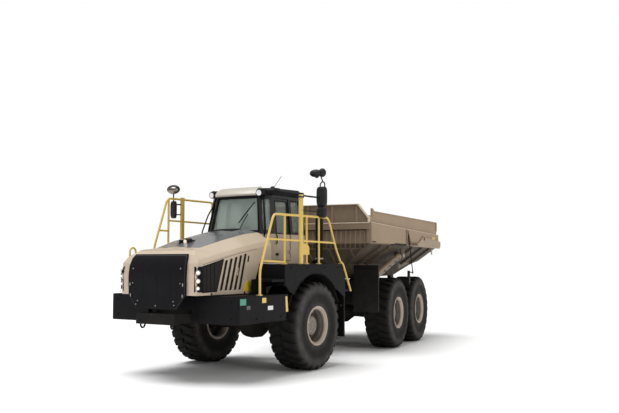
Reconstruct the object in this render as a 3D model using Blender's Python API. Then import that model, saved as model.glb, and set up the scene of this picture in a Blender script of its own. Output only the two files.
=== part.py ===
"""Articulated dump truck: six wheels, a front tractor section hinged to a rear load section.

Metres, +Z up, +X forward, +Y the truck's left. Everything is laid out in a truck frame whose
X is 0 at the front axle, and the root empty shifts it so that the origin is the middle of the
whole truck's footprint. The rear section is turned about the vertical hitch pin by REST_STEER.
"""
import math
import bpy
import bmesh
from mathutils import Matrix, Vector

# ---- driving dimensions -------------------------------------------------------------------
SHIFT_X = 2.4640 + 0.0949 - 0.0400          # truck frame to footprint middle
SHIFT_Y = 0.4130 - 0.0136
HITCH_X = -1.40           # vertical articulation pin, behind the front axle
REST_STEER = math.radians(7.77)
TYRE_R = 0.810
TYRE_HALF_W = 0.316
WHEEL_SIDES = 24
TRACK_HALF = 1.152
AXLE_Z = TYRE_R * math.cos(math.pi / WHEEL_SIDES)
MID_X = -4.048
REAR_X = -5.750
RIM_R = 0.362
OSC_Z = 0.96              # height of the lengthways oscillation bearing
BODY_HALF_W = 1.42
BODY_TOP_Z = 3.05
BODY_KNEE_Z = 2.37
BODY_FRONT_X = -2.12
BODY_TAIL_X = -7.55
DUMP_X, DUMP_Z = -6.35, 1.45
GATE_X, GATE_Z = -6.04, 2.558
LINK_X, LINK_Z = -4.93, 1.72      # lower eye of the tailgate link, on the frame
ARM_X, ARM_Z = -4.62, 2.60        # its upper eye, on the tailgate's arm
HOIST_FOOT = (-2.86, 1.62)
HOIST_HEAD = (-4.75, 2.13)
HOIST_Y = 1.25
STEER_FOOT = (-0.30, 0.62)        # steering cylinder, front eye (x, y)
STEER_HEAD = (-1.90, 0.50)        # rear eye on the hitch, in the rear section's own frame
STEER_Z = 0.90
HOIST_CLOSED = math.hypot(HOIST_HEAD[0] - HOIST_FOOT[0], HOIST_HEAD[1] - HOIST_FOOT[1])
STEER_CLOSED = 1.10               # eye to eye with the rod right in
HOOD_X, HOOD_Z = 2.745, 1.185     # bonnet hinge
DOOR_X, DOOR_Y = -0.085, 0.795    # cab door hinge, at the door's rear edge
PLATFORM_Z = 1.93
GAP = 0.0004


# ---- scene --------------------------------------------------------------------------------
for old in list(bpy.data.objects):
    bpy.data.objects.remove(old, do_unlink=True)
for old in list(bpy.data.meshes):
    bpy.data.meshes.remove(old)
SCENE = bpy.context.scene.collection


def empty(name, at, parent=None, turn=0.0):
    obj = bpy.data.objects.new(name, None)
    obj.location = at
    obj.rotation_euler = (0, 0, turn)
    obj.empty_display_size = 0.3
    obj.parent = parent
    SCENE.objects.link(obj)
    return obj


ROOT = empty("truck_origin", (SHIFT_X, SHIFT_Y, 0))
HITCH = empty("hitch_axis", (HITCH_X, 0, 0), ROOT, REST_STEER)


def material(name, colour, rough, metal=0.0, alpha=1.0):
    mat = bpy.data.materials.new(name)
    mat.use_nodes = True
    node = mat.node_tree.nodes["Principled BSDF"]
    node.inputs["Base Color"].default_value = (*colour, 1)
    node.inputs["Roughness"].default_value = rough
    node.inputs["Metallic"].default_value = metal
    node.inputs["Alpha"].default_value = alpha
    mat.diffuse_color = (*colour, alpha)
    return mat


PAINT = dict(colour=(0.60, 0.50, 0.40), rough=0.38)
BLACK = dict(colour=(0.022, 0.022, 0.024), rough=0.5)
YELLOW = dict(colour=(0.85, 0.58, 0.05), rough=0.45)
RUBBER = dict(colour=(0.045, 0.042, 0.038), rough=0.9)
STEEL = dict(colour=(0.55, 0.55, 0.56), rough=0.25, metal=1.0)
GLASS = dict(colour=(0.28, 0.36, 0.35), rough=0.05, alpha=0.35)
CLOTH = dict(colour=(0.05, 0.05, 0.055), rough=0.95)
PLASTIC = dict(colour=(0.06, 0.06, 0.065), rough=0.6)
IRON = dict(colour=(0.07, 0.065, 0.06), rough=0.7, metal=0.4)


# ---- shapes -------------------------------------------------------------------------------
def raw(verts, faces):
    """A mesh object from points and faces, its normals turned outwards."""
    mesh = bpy.data.meshes.new("shape")
    mesh.from_pydata([tuple(v) for v in verts], [], faces)
    bm = bmesh.new()
    bm.from_mesh(mesh)
    bmesh.ops.remove_doubles(bm, verts=bm.verts, dist=1e-6)
    bent = [f for f in bm.faces if len(f.verts) > 3 and max(abs(f.normal.dot(v.co - f.verts[0].co)) for v in f.verts) > 1e-5]
    bmesh.ops.triangulate(bm, faces=bent)
    bmesh.ops.recalc_face_normals(bm, faces=bm.faces)
    if bm.calc_volume(signed=True) < 0:
        bmesh.ops.reverse_faces(bm, faces=bm.faces)
    bm.to_mesh(mesh)
    bm.free()
    obj = bpy.data.objects.new("shape", mesh)
    SCENE.objects.link(obj)
    return obj


def loft(rings):
    """A closed solid through rings of equally many points."""
    n = len(rings[0])
    verts = [p for ring in rings for p in ring]
    faces = [list(range(n))[::-1], [(len(rings) - 1) * n + i for i in range(n)]]
    for k in range(len(rings) - 1):
        for i in range(n):
            j = (i + 1) % n
            faces.append([k * n + i, k * n + j, (k + 1) * n + j, (k + 1) * n + i])
    return raw(verts, faces)


def box(x0, x1, y0, y1, z0, z1):
    return loft([[(x0, y0, z), (x1, y0, z), (x1, y1, z), (x0, y1, z)] for z in (z0, z1)])


def side_prism(points, y0, y1):
    """An outline in X and Z, extruded along Y."""
    return loft([[(x, y, z) for x, z in points] for y in (y0, y1)])


def front_prism(points, x0, x1):
    """An outline in Y and Z, extruded along X."""
    return loft([[(x, y, z) for y, z in points] for x in (x0, x1)])


def plan_prism(points, z0, z1):
    return loft([[(x, y, z) for x, y in points] for z in (z0, z1)])


def frame_of(axis):
    z = axis.normalized()
    up = Vector((0, 0, 1)) if abs(z.z) < 0.9 else Vector((1, 0, 0))
    x = up.cross(z).normalized()
    return x, z.cross(x)


def rod(p, q, r, n=10, r2=None):
    """A round bar from p to q."""
    p, q = Vector(p), Vector(q)
    u, v = frame_of(q - p)
    rings = []
    for at, radius in ((p, r), (q, r if r2 is None else r2)):
        ring = []
        for i in range(n):
            a = 2 * math.pi * (i + 0.5) / n
            ring.append(at + radius * (math.cos(a) * u + math.sin(a) * v))
        rings.append(ring)
    return loft(rings)


def turned(profile, n, centre=(0, 0, 0)):
    """A solid of revolution about Y; profile is (radius, y), a closed outline or one that ends on the axis."""
    cx, cy, cz = centre
    closed = profile[0][0] > 1e-6
    verts, rows = [], []
    for r, y in profile:
        row = []
        if r < 1e-6:
            verts.append((cx, cy + y, cz))
            row = [len(verts) - 1] * n
        else:
            for i in range(n):
                a = 2 * math.pi * (i + 0.5) / n
                verts.append((cx + r * math.sin(a), cy + y, cz - r * math.cos(a)))
                row.append(len(verts) - 1)
        rows.append(row)
    pairs = list(zip(rows, rows[1:])) + ([(rows[-1], rows[0])] if closed else [])
    faces = []
    for a, b in pairs:
        for i in range(n):
            j = (i + 1) % n
            face = []
            for k in (a[i], a[j], b[j], b[i]):
                if k not in face:
                    face.append(k)
            faces.append(face)
    return raw(verts, faces)


def turned_on(profile, n, foot, head):
    """The same, with its axis laid from foot towards head."""
    obj = turned(profile, n)
    y = (Vector(head) - Vector(foot)).normalized()
    x, z = frame_of(y)
    turn = Matrix((x, y, z)).transposed().to_4x4()
    if turn.to_3x3().determinant() < 0:
        turn = Matrix((-x, y, z)).transposed().to_4x4()
    obj.data.transform(Matrix.Translation(foot) @ turn)
    return obj


def joined(base, adds=(), cuts=(), keep=()):
    """Boolean union of base and adds, then the cuts; the result is one mesh."""
    for tool, how in [(t, "UNION") for t in adds] + [(t, "INTERSECT") for t in keep] + [(t, "DIFFERENCE") for t in cuts]:
        mod = base.modifiers.new("bool", "BOOLEAN")
        mod.operation = how
        mod.solver = "EXACT"
        mod.object = tool
    bpy.context.view_layer.update()
    graph = bpy.context.evaluated_depsgraph_get()
    mesh = bpy.data.meshes.new_from_object(base.evaluated_get(graph))
    base.modifiers.clear()
    base.data = mesh
    for tool in (*adds, *cuts, *keep):
        bpy.data.objects.remove(tool, do_unlink=True)
    return base


def piece(name, obj, look, parent=ROOT, origin=None, smooth=None):
    """Names a finished solid, gives it its material and hangs it on its parent with its origin on its joint."""
    bm = bmesh.new()
    bm.from_mesh(obj.data)
    bmesh.ops.remove_doubles(bm, verts=bm.verts, dist=2e-6)
    bm.to_mesh(obj.data)
    bm.free()
    obj.name = name
    obj.data.name = name
    obj.data.materials.clear()
    obj.data.materials.append(material(name, **look))
    if origin is not None:
        obj.data.transform(Matrix.Translation(-Vector(origin)))
        obj.location = origin
    obj.parent = parent
    if parent is HITCH:
        obj.matrix_parent_inverse = Matrix.Translation((-HITCH_X, 0, 0))
    if smooth:
        obj.data.shade_smooth()
        obj.data.set_sharp_from_angle(angle=math.radians(smooth))
    return obj


# ---- front section ------------------------------------------------------------------------
def front_frame():
    rails = [box(-1.02, 2.30, s * 0.38, s * 0.50, 0.98, 1.28) for s in (1, -1)]
    adds = [
        box(2.10, 2.28, -0.45, 0.45, 1.00, 1.26),
        box(0.30, 0.44, -0.45, 0.45, 1.10, 1.27),
        box(-1.10, -0.92, -0.28, 0.28, 0.60, 1.32),
        box(-1.10, -0.92, -0.45, 0.45, 0.99, 1.32),
        plan_prism([(-1.0, -0.24), (-1.0, 0.24), (-1.45, 0.17), (-1.54, 0.07), (-1.54, -0.07), (-1.45, -0.17)], 1.22, 1.31),
        plan_prism([(-1.0, -0.24), (-1.0, 0.24), (-1.45, 0.17), (-1.54, 0.07), (-1.54, -0.07), (-1.45, -0.17)], 0.61, 0.70),
        rod((HITCH_X, 0, 0.58), (HITCH_X, 0, 1.34), 0.055, 16),
        box(2.20, 2.74, 0.30, 0.40, 0.97, 1.12),
        box(2.20, 2.74, -0.40, -0.30, 0.97, 1.12),
        box(2.62, 2.76, -0.42, 0.42, 0.95, 1.13),
    ]
    for s in (1, -1):
        adds.append(box(-0.40, -0.20, *sorted((s * 0.48, s * 0.70)), 0.985, 1.06))
        adds.append(box(-1.0, -0.86, *sorted((s * 0.48, s * 1.30)), 1.02, 1.16))
    obj = joined(rails[0], [rails[1]] + adds)
    piece("front_frame", obj, IRON, origin=(0, 0, 0.98))


def front_axle():
    tube = turned([(0, -1.06), (0.12, -1.06), (0.12, -0.34), (0.27, -0.16), (0.29, 0), (0.27, 0.16), (0.12, 0.34), (0.12, 1.06), (0, 1.06)], 16, (0, 0, AXLE_Z))
    obj = joined(tube, [rod((0.05, s * 0.60, AXLE_Z), (0.05, s * 0.60, 0.979), 0.05, 8) for s in (1, -1)])
    piece("front_axle", obj, IRON, origin=(0, 0, AXLE_Z))


def engine():
    piece("engine_block", box(0.62, 1.92, -0.34, 0.34, 1.02, 1.78), IRON, origin=(1.3, 0, 1.4))


def hood_rings(inset):
    """Bonnet sections from nose to cowl; each is a half outline mirrored."""
    rings = []
    for x, half, edge, shoulder, top_half, top, crown in (
        (2.80, 0.80, 1.93, 1.93, 0.62, 2.14, 2.15),
        (2.56, 0.84, 1.96, 2.02, 0.58, 2.165, 2.18),
        (2.20, 0.865, 2.04, 2.09, 0.50, 2.21, 2.235),
        (1.69, 0.88, 2.14, 2.20, 0.56, 2.345, 2.40),
        (1.117, 0.88, 2.22, 2.30, 0.60, 2.45, 2.53),
        (0.68, 0.88, 2.27, 2.35, 0.61, 2.50, 2.60),
    ):
        half, edge, shoulder, top, crown = half - inset, edge - inset * 0.6, shoulder - inset, top - inset, crown - inset
        side = [(half, 1.30), (half, edge), (half - 0.03, shoulder), (top_half, top), (top_half * 0.5, crown - 0.02), (0, crown)]
        ring = [(x, y, z) for y, z in side] + [(x, -y, z) for y, z in side[-2::-1]]
        rings.append(ring)
    return rings


def hood():
    outer = loft(hood_rings(0.0))
    keep = side_prism([(2.69, 1.43), (2.70, 1.75), (2.67, 1.95), (2.60, 2.08), (2.50, 2.15), (2.20, 2.75), (0.70, 2.75), (0.70, 1.96), (1.07, 1.96), (1.08, 1.90), (1.28, 1.43)], -1, 1)
    outer = joined(outer, keep=[keep])
    inner = loft(hood_rings(0.035))
    trim = side_prism([(2.64, 1.30), (2.65, 1.75), (2.62, 1.92), (2.55, 2.04), (2.46, 2.10), (2.20, 2.75), (0.60, 2.75), (0.60, 1.30)], -1, 1)
    inner = joined(inner, keep=[trim])
    grille_gap = front_prism([(-0.60, 1.35), (0.60, 1.35), (0.60, 1.90), (0.56, 2.06), (-0.56, 2.06), (-0.60, 1.90)], 2.55, 2.9)
    obj = joined(outer, cuts=[inner, grille_gap])
    piece("hood", obj, PAINT, origin=(HOOD_X, 0, HOOD_Z))


def grille():
    """A thick panel, curved back over its top, filling the nose opening and hanging below it."""
    rings = []
    for x, z, half in ((2.745, 1.20, 0.44), (2.745, 1.24, 0.47), (2.735, 1.428, 0.62), (2.741, 1.70, 0.625), (2.738, 1.78, 0.625), (2.725, 1.90, 0.62), (2.675, 2.03, 0.60), (2.625, 2.10, 0.57)):
        rings.append([(x, -half, z), (x, half, z), (x - 0.034, half, z), (x - 0.034, -half, z)])
    plate = loft(rings)
    plug = [front_prism([(-0.40, 1.42), (0.40, 1.42), (0.40, 1.86), (-0.40, 1.86)], 2.66, 2.72)]
    obj = joined(plate, plug, cuts=[])
    piece("front_grille", obj, BLACK, origin=(HOOD_X, 0, HOOD_Z))


def bumper():
    plan = [(2.36, 0.52), (2.36, 1.37), (2.33, 1.40), (0.93, 1.40), (0.93, 0.90), (1.95, 0.90), (2.05, 0.60), (2.05, 0.52)]
    sides = []
    for s in (1, -1):
        wing = plan_prism([(x, s * y) for x, y in plan], 0.965, 1.412)
        cut = side_prism([(0.80, 0.90), (1.02, 0.90), (0.95, 1.20), (0.90, 1.50), (0.80, 1.50)], -1.6, 1.6)
        sides.append(joined(wing, cuts=[cut]))
    adds = [sides[1], box(2.305, 2.35, -0.54, 0.54, 1.20, 1.40)]
    for s in (1, -1):
        adds.append(box(2.0, 2.09, *sorted((s * 0.505, s * 0.95)), 1.0, 1.20))
    obj = joined(sides[0], adds)
    piece("front_bumper", obj, BLACK, origin=(2.2, 0, 1.19))


def fender(side):
    s = 1 if side == "left" else -1
    arch = [(1.05, PLATFORM_Z - 0.03), (1.05, 1.60), (0.90, 1.45)]
    arch += [(0.96 * math.cos(math.radians(a)), 0.81 + 0.96 * math.sin(math.radians(a))) for a in range(38, 145, 12)]
    arch += [(-1.02, 1.30), (-1.08, 1.30), (-1.08, PLATFORM_Z - 0.03)]
    y = lambda a, b: sorted((s * a, s * b))
    base = box(-1.08, 1.05, *y(0.80, 1.41), 1.87, PLATFORM_Z)
    adds = [
        side_prism(arch, *y(1.37, 1.41)),
        box(-1.08, -1.04, *y(0.86, 1.40), 0.52, 1.90),
        box(1.01, 1.05, *y(0.90, 1.40), 1.55, 1.90),
        box(1.04, 1.42, *y(1.00, 1.40), 1.63, 1.67),
        box(1.04, 1.42, *y(0.96, 1.01), 1.4125, 1.67),
        box(-1.0, -0.86, *y(0.90, 1.00), 1.161, 1.90),
    ]
    obj = joined(base, adds)
    piece("fender_" + side, obj, BLACK, origin=(0, s * 1.1, PLATFORM_Z))


def cab_plan(z, inset=0.0):
    """Six-sided cab outline at a height: straight below the belt, leaning in above it."""
    t = min(max((z - 2.50) / 0.72, 0.0), 1.0)
    mix = lambda a, b: a + (b - a) * t
    xf, yf = mix(0.64, 0.54), mix(0.60, 0.47)
    xc, yc = mix(0.45, 0.40), mix(0.78, 0.70)
    yb = mix(0.78, 0.71)
    pts = [(xf - inset, yf - 0.5 * inset), (xc - 0.3 * inset, yc - inset), (-0.60 + inset, yb - inset)]
    return [(x, y, z) for x, y in pts] + [(x, -y, z) for x, y in pts[::-1]]


def cab():
    shell = loft([cab_plan(1.94), cab_plan(2.50), cab_plan(3.22)])
    inner = loft([cab_plan(1.99, 0.045), cab_plan(2.50, 0.045), cab_plan(3.30, 0.045)])
    cuts = [
        inner,
        front_prism([(-0.545, 2.55), (0.545, 2.55), (0.455, 3.16), (-0.455, 3.16)], 0.45, 0.9),
        front_prism([(-0.60, 2.52), (0.60, 2.52), (0.58, 3.14), (-0.58, 3.14)], -0.8, -0.45),
        side_prism([(-0.53, 2.52), (-0.16, 2.52), (-0.16, 3.14), (-0.53, 3.14)], 0.5, 0.9),
        side_prism([(-0.53, 2.52), (-0.16, 2.52), (-0.16, 3.14), (-0.53, 3.14)], -0.9, -0.5),
        side_prism([(-0.06, 2.52), (0.39, 2.52), (0.36, 3.14), (-0.06, 3.14)], -0.9, -0.5),
        side_prism([(-0.10, 1.99), (0.425, 1.99), (0.425, 2.50), (0.38, 3.16), (-0.10, 3.16)], 0.5, 0.9),
    ]
    for s in (1, -1):
        lean = []
        for z in (2.56, 3.14):
            p = Vector(cab_plan(z)[0]), Vector(cab_plan(z)[1])
            a, b = p[0].lerp(p[1], 0.22), p[0].lerp(p[1], 0.80)
            out = Vector((p[0].y - p[1].y, p[1].x - p[0].x, 0)).normalized()
            if out.x > 0:
                out = -out
            ring = [a - out * 0.2, b - out * 0.2, b + out * 0.12, a + out * 0.12]
            lean.append([(q.x, s * q.y, q.z) for q in ring])
        cuts.append(loft(lean))
    obj = joined(shell, cuts=cuts)
    piece("cab_shell", obj, PAINT, origin=(0, 0, 1.94))
    base = box(-0.60, 1.045, -0.79, 0.79, 1.52, 1.935)
    adds = [box(x, x + 0.12, *sorted((s * 0.39, s * 0.49)), 1.281, 1.55) for x in (-0.5, 0.42) for s in (1, -1)]
    trim = [box(0.5, 2.0, -0.40, 0.40, 1.40, 1.80)]
    piece("cab_base", joined(base, adds, cuts=trim), BLACK, origin=(0.2, 0, 1.52))
    top = loft([
        [(0.60, -0.50, 3.225), (0.60, 0.50, 3.225), (0.42, 0.74, 3.225), (-0.63, 0.745, 3.225), (-0.63, -0.745, 3.225), (0.42, -0.74, 3.225)],
        [(0.58, -0.49, 3.30), (0.58, 0.49, 3.30), (0.41, 0.72, 3.30), (-0.63, 0.73, 3.30), (-0.63, -0.73, 3.30), (0.41, -0.72, 3.30)],
        [(0.42, -0.42, 3.355), (0.42, 0.42, 3.355), (0.30, 0.60, 3.36), (-0.58, 0.64, 3.37), (-0.58, -0.64, 3.37), (0.30, -0.60, 3.36)],
    ])
    piece("cab_roof", top, BLACK, origin=(0, 0, 3.22))


def door():
    outline = [(-0.094, 2.0), (0.419, 2.0), (0.419, 2.50), (0.375, 3.15), (-0.094, 3.15)]
    slab = loft([[(x, y - (0.075 * max(z - 2.5, 0) / 0.65), z) for x, z in outline] for y in (0.735, 0.775)])
    hole = side_prism([(-0.05, 2.18), (0.375, 2.18), (0.375, 2.52), (0.34, 3.11), (-0.05, 3.11)], 0.4, 1.0)
    lug = [rod((DOOR_X, 0.795, z), (DOOR_X, 0.795, z + 0.08), 0.02, 8) for z in (2.12, 3.0)]
    lug += [box(-0.10, -0.03, 0.70, 0.80, 2.13, 2.19)]
    obj = joined(slab, [box(-0.094, -0.05, 0.74, 0.80, 2.13, 2.19)], cuts=[hole])
    for item in lug:
        bpy.data.objects.remove(item, do_unlink=True)
    piece("cab_door", obj, BLACK, origin=(DOOR_X, DOOR_Y, 2.4))
    edge = [(-0.0496, 2.1804), (0.3746, 2.1804), (0.3746, 2.52), (0.3396, 3.1096), (-0.0496, 3.1096)]
    pane = loft([[(x, y - (0.075 * max(z - 2.5, 0) / 0.65), z) for x, z in edge] for y in (0.752, 0.760)])
    piece("door_glass", pane, GLASS, origin=(DOOR_X, DOOR_Y, 2.4))


def glass():
    rings = []
    for z in (2.535, 3.175):
        outer, inner = cab_plan(z, 0.0460), cab_plan(z, 0.0540)
        a = [Vector(outer[1]).lerp(Vector(outer[0]), 0.1), Vector(outer[0])]
        b = [Vector(inner[0]), Vector(inner[1]).lerp(Vector(inner[0]), 0.1)]
        half = [a[0], a[1]]
        ring = half + [Vector((p.x, -p.y, p.z)) for p in half[::-1]]
        back = [Vector((p.x, -p.y, p.z)) for p in b[::-1]] + b
        rings.append([tuple(p) for p in ring + back])
    piece("windscreen", loft(rings), GLASS, origin=(0.6, 0, 2.5))
    lean = lambda z: 0.086 * max(z - 2.5, 0) / 0.72
    for s, side in ((1, "left"), (-1, "right")):
        x1 = -0.13 if s > 0 else 0.40
        out = [(-0.545, 2.50), (x1, 2.50), (x1 - 0.02, 3.16), (-0.545, 3.16)]
        pane = loft([[(x, s * (y - lean(z)), z) for x, z in out] for y in (0.7260, 0.7335)])
        piece("side_glass_" + side, pane, GLASS, origin=(-0.3, s * 0.73, 2.5))
    piece("rear_glass", front_prism([(-0.64, 2.50), (0.64, 2.50), (0.60, 3.16), (-0.60, 3.16)], -0.554, -0.546), GLASS, origin=(-0.55, 0, 2.5))


def interior():
    seat = joined(box(-0.44, -0.01, -0.24, 0.24, 2.30, 2.42), [
        side_prism([(-0.46, 2.32), (-0.32, 2.32), (-0.40, 2.98), (-0.50, 2.98)], -0.22, 0.22),
        box(-0.32, -0.04, -0.15, 0.15, 1.9905, 2.32)])
    piece("driver_seat", seat, CLOTH, origin=(-0.2, 0, 2.3))
    dash = side_prism([(0.585, 1.9905), (0.585, 2.50), (0.36, 2.50), (0.30, 2.42), (0.40, 2.20), (0.40, 1.9905)], -0.44, 0.44)
    dash = joined(dash, [box(-0.35, 0.10, -0.62, -0.34, 1.9905, 2.52)])
    if True:
        dash = joined(dash, [box(0.05, 0.45, -0.60, -0.40, 1.9905, 2.15)])
    piece("dashboard", dash, PLASTIC, origin=(0.45, 0, 2.2))
    ring = turned_on([(0.19, -0.012), (0.215, -0.012), (0.215, 0.012), (0.19, 0.012)], 24, (0.20, 0, 2.665), (0.12, 0, 2.78))
    hub = rod((0.315, 0, 2.506), (0.20, 0, 2.67), 0.025, 8)
    spoke = box(0.17, 0.23, -0.20, 0.20, 2.65, 2.68)
    piece("steering_wheel", joined(ring, [hub, spoke]), PLASTIC, origin=(0.2, 0, 2.585))


def tube(points, r, n=6):
    return [rod(a, b, r, n) for a, b in zip(points, points[1:])]


def handrail(side):
    s = 1 if side == "left" else -1
    y = s * 1.37
    if s > 0:
        bars = tube([(1.737, y, 1.4135), (1.737, y, 1.83), (1.371, y, 2.72), (1.30, y, 2.79), (-0.44, y, 2.81), (-0.52, y, 2.76), (-0.80, y, 2.20), (-0.98, y, PLATFORM_Z + 0.02)], 0.021)
        bars.append(box(-1.03, -0.93, y - 0.03, y + 0.03, PLATFORM_Z + 0.0005, PLATFORM_Z + 0.03))
        bars += tube([(1.62, y, 1.968), (1.00, y, 1.968)], 0.018)
        bars += tube([(1.51, y, 2.36), (-0.74, y, 2.335)], 0.018)
        bars += tube([(1.00, y, 2.80), (1.00, y, PLATFORM_Z + 0.0005)], 0.019)
        bars += tube([(0.28, y, 2.80), (0.28, y, PLATFORM_Z + 0.0005)], 0.019)
        bars += tube([(-0.15, y, 2.80), (-0.15, y, PLATFORM_Z + 0.0005)], 0.019)
        post = box(0.42, 0.52, y - 0.02, y + 0.02, PLATFORM_Z + 0.0005, 3.22)
        plate = box(0.20, 0.48, y - 0.012, y + 0.012, 2.10, 2.30)
        obj = joined(post, bars + [plate])
    else:
        top = 3.20
        bars = tube([(1.33, y, PLATFORM_Z + 0.0005), (1.33, y, 2.25), (1.0, y, 3.15), (0.93, y, top), (-0.384, y, top), (-0.45, y, 3.10), (-0.62, y, PLATFORM_Z + 0.02)], 0.021)
        bars.append(box(-0.67, -0.57, y - 0.03, y + 0.03, PLATFORM_Z + 0.0005, PLATFORM_Z + 0.03))
        bars += tube([(0.945, y, top), (0.945, y, PLATFORM_Z + 0.0005)], 0.021)
        bars += tube([(0.945, y, 2.77), (-0.53, y, 2.755)], 0.018)
        bars += tube([(1.24, y, 2.57), (0.945, y, 2.57)], 0.018)
        bars += tube([(-0.38, y, 3.20), (-0.38, y, PLATFORM_Z + 0.0005)], 0.019)
        post = box(0.50, 0.59, y - 0.02, y + 0.02, PLATFORM_Z + 0.0005, 3.24)
        foot = box(0.98, 1.40, y - 0.03, y + 0.03, PLATFORM_Z + 0.0005, PLATFORM_Z + 0.03)
        obj = joined(post, bars + [foot])
    piece("handrail_" + side, obj, YELLOW, origin=(0.47, y, PLATFORM_Z))


def mirror(side):
    """Tall mirror, and a round one on an arm above it, carried by a bracket off the yellow post."""
    if side == "left":
        y, x = 1.37, -0.16
        head = box(x - 0.04, x + 0.04, 1.36, 1.53, 2.99, 3.38)
        adds = [box(x - 0.04, x + 0.05, 1.38, 1.51, 2.83, 3.00)]
        adds += tube([(0.42 - 0.0005, y, 3.17), (-0.02, y, 3.17), (-0.15, y, 3.17)], 0.016)
        adds += tube([(x, 1.40, 3.10), (x, 1.40, 3.42), (x, 1.44, 3.46), (x, 1.49, 3.42), (x, 1.49, 3.20)], 0.014)
        adds += tube([(x, 1.46, 3.44), (x + 0.02, 1.40, 3.60)], 0.014)
        adds += [turned_on([(0, -0.03), (0.07, -0.03), (0.11, 0.0), (0.09, 0.03), (0, 0.05)], 14, (x + 0.03, 1.40, 3.62), (x - 0.2, 1.39, 3.66))]
        obj = joined(head, adds)
        piece("mirror_left", obj, BLACK, origin=(x, 1.45, 3.17))
    else:
        x = 0.73
        head = box(x - 0.05, x + 0.03, -1.51, -1.385, 2.82, 3.17)
        adds = tube([(0.597, -1.372, 3.10), (0.70, -1.41, 3.10)], 0.016)
        adds += tube([(x, -1.44, 3.10), (x, -1.44, 3.36)], 0.014)
        adds += [turned_on([(0, -0.03), (0.08, -0.03), (0.115, 0.0), (0.09, 0.04), (0, 0.06)], 14, (x, -1.44, 3.39), (x + 0.2, -1.45, 3.36))]
        obj = joined(head, adds)
        piece("mirror_right", obj, BLACK, origin=(x, -1.40, 3.0))


def exhaust():
    pipe = rod((-0.86, 0.95, PLATFORM_Z + 0.0005), (-0.86, 0.95, 2.92), 0.075, 14)
    tip = rod((-0.86, 0.95, 2.86), (-0.92, 0.95, 3.06), 0.055, 12)
    base = box(-0.97, -0.75, 0.86, 1.04, PLATFORM_Z + 0.0005, 2.0)
    piece("exhaust_stack", joined(pipe, [tip, base]), BLACK, origin=(-0.86, 0.95, PLATFORM_Z))


# ---- wheels -------------------------------------------------------------------------------
TYRE_PROFILE = [(RIM_R + 0.0004, -0.285), (0.45, -0.305), (0.60, -0.316), (0.735, -0.295), (TYRE_R, -0.245), (TYRE_R, 0.245), (0.735, 0.295), (0.60, 0.316), (0.45, 0.305), (RIM_R + 0.0004, 0.285)]
RIM_PROFILE = [(0, -0.02), (0.16, -0.02), (0.29, -0.06), (0.31, -0.284), (RIM_R, -0.290), (RIM_R, 0.290), (0.315, 0.292), (0.295, 0.16), (0.22, 0.13), (0.185, 0.12), (0.175, 0.20), (0, 0.205)]


def wheel(name, x, side, parent):
    s = 1 if side == "left" else -1
    at = (x, s * TRACK_HALF, AXLE_Z)
    tyre = turned([(r, s * y) for r, y in TYRE_PROFILE], WHEEL_SIDES, at)
    piece(f"tyre_{name}_{side}", tyre, RUBBER, parent, at, 40)
    rim = turned([(r, s * y) for r, y in RIM_PROFILE], WHEEL_SIDES, at)
    piece(f"rim_{name}_{side}", rim, PAINT, parent, at, 40)


# ---- hitch and rear section ---------------------------------------------------------------
def hitch():
    body = rod((HITCH_X, 0, 0.7005), (HITCH_X, 0, 1.2195), 0.15, 20)
    adds = [
        box(HITCH_X - 0.36, HITCH_X - 0.08, -0.14, 0.14, 0.80, 1.12),
        rod((HITCH_X - 0.30, 0, OSC_Z), (-2.30, 0, OSC_Z), 0.11, 20),
        box(-1.98, -1.60, -0.20, 0.20, 0.74, 0.86),
        box(-1.98, -1.83, -0.56, 0.56, 0.74, 0.862),
    ]
    bore = rod((HITCH_X, 0, 0.5), (HITCH_X, 0, 1.5), 0.0575, 16)
    piece("hitch_yoke", joined(body, adds, cuts=[bore]), IRON, HITCH, (HITCH_X, 0, OSC_Z))


def rear_frame():
    rails = [box(-6.44, -2.45, *sorted((s * 0.33, s * 0.47)), 1.08, 1.42) for s in (1, -1)]
    adds = [
        box(-2.62, -2.10, -0.24, 0.24, 0.90, 1.30),
        plan_prism([(-2.30, -0.24), (-2.30, 0.24), (-2.62, 0.46), (-2.80, 0.46), (-2.80, -0.46), (-2.62, -0.46)], 1.10, 1.40),
        box(-3.10, -2.90, -0.40, 0.40, 1.10, 1.40),
        box(-5.0, -4.80, -0.40, 0.40, 1.12, 1.40),
        box(-6.44, -6.24, -0.40, 0.40, 1.10, 1.40),
        box(-2.95, -2.70, -1.17, 1.17, 1.36, 1.56),
        box(-4.98, -4.88, -1.44, 1.44, 1.43, 1.53),
    ]
    for s in (1, -1):
        adds.append(side_prism([(-6.20, 1.30), (-6.24, 1.52), (-6.35, 1.56), (-6.46, 1.50), (-6.50, 1.30)], *sorted((s * 0.36, s * 0.47))))
        adds.append(rod((DUMP_X, s * 0.44, DUMP_Z), (DUMP_X, s * 0.62, DUMP_Z), 0.04, 14))
        adds.append(box(-2.92, -2.80, *sorted((s * 1.10, s * 1.172)), 1.40, 1.70))
        adds.append(side_prism([(-2.68, 1.90), (-2.66, 0.88), (-2.72, 0.88), (-2.74, 1.90)], *sorted((s * 0.85, s * 1.42))))
        adds.append(box(-4.98, -4.88, *sorted((s * 0.34, s * 0.47)), 1.38, 1.50))
        adds.append(box(-4.98, -4.88, *sorted((s * 1.40, s * 1.44)), 1.45, 1.76))
    bore = rod((-2.05, 0, OSC_Z), (-2.40, 0, OSC_Z), 0.1130, 20)
    notch = box(-5.2, -4.6, -0.30, 0.30, 1.60, 1.80)
    obj = joined(rails[0], [rails[1]] + adds, cuts=[bore])
    bpy.data.objects.remove(notch, do_unlink=True)
    piece("rear_frame", obj, IRON, HITCH, (-4.0, 0, 1.1))


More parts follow.
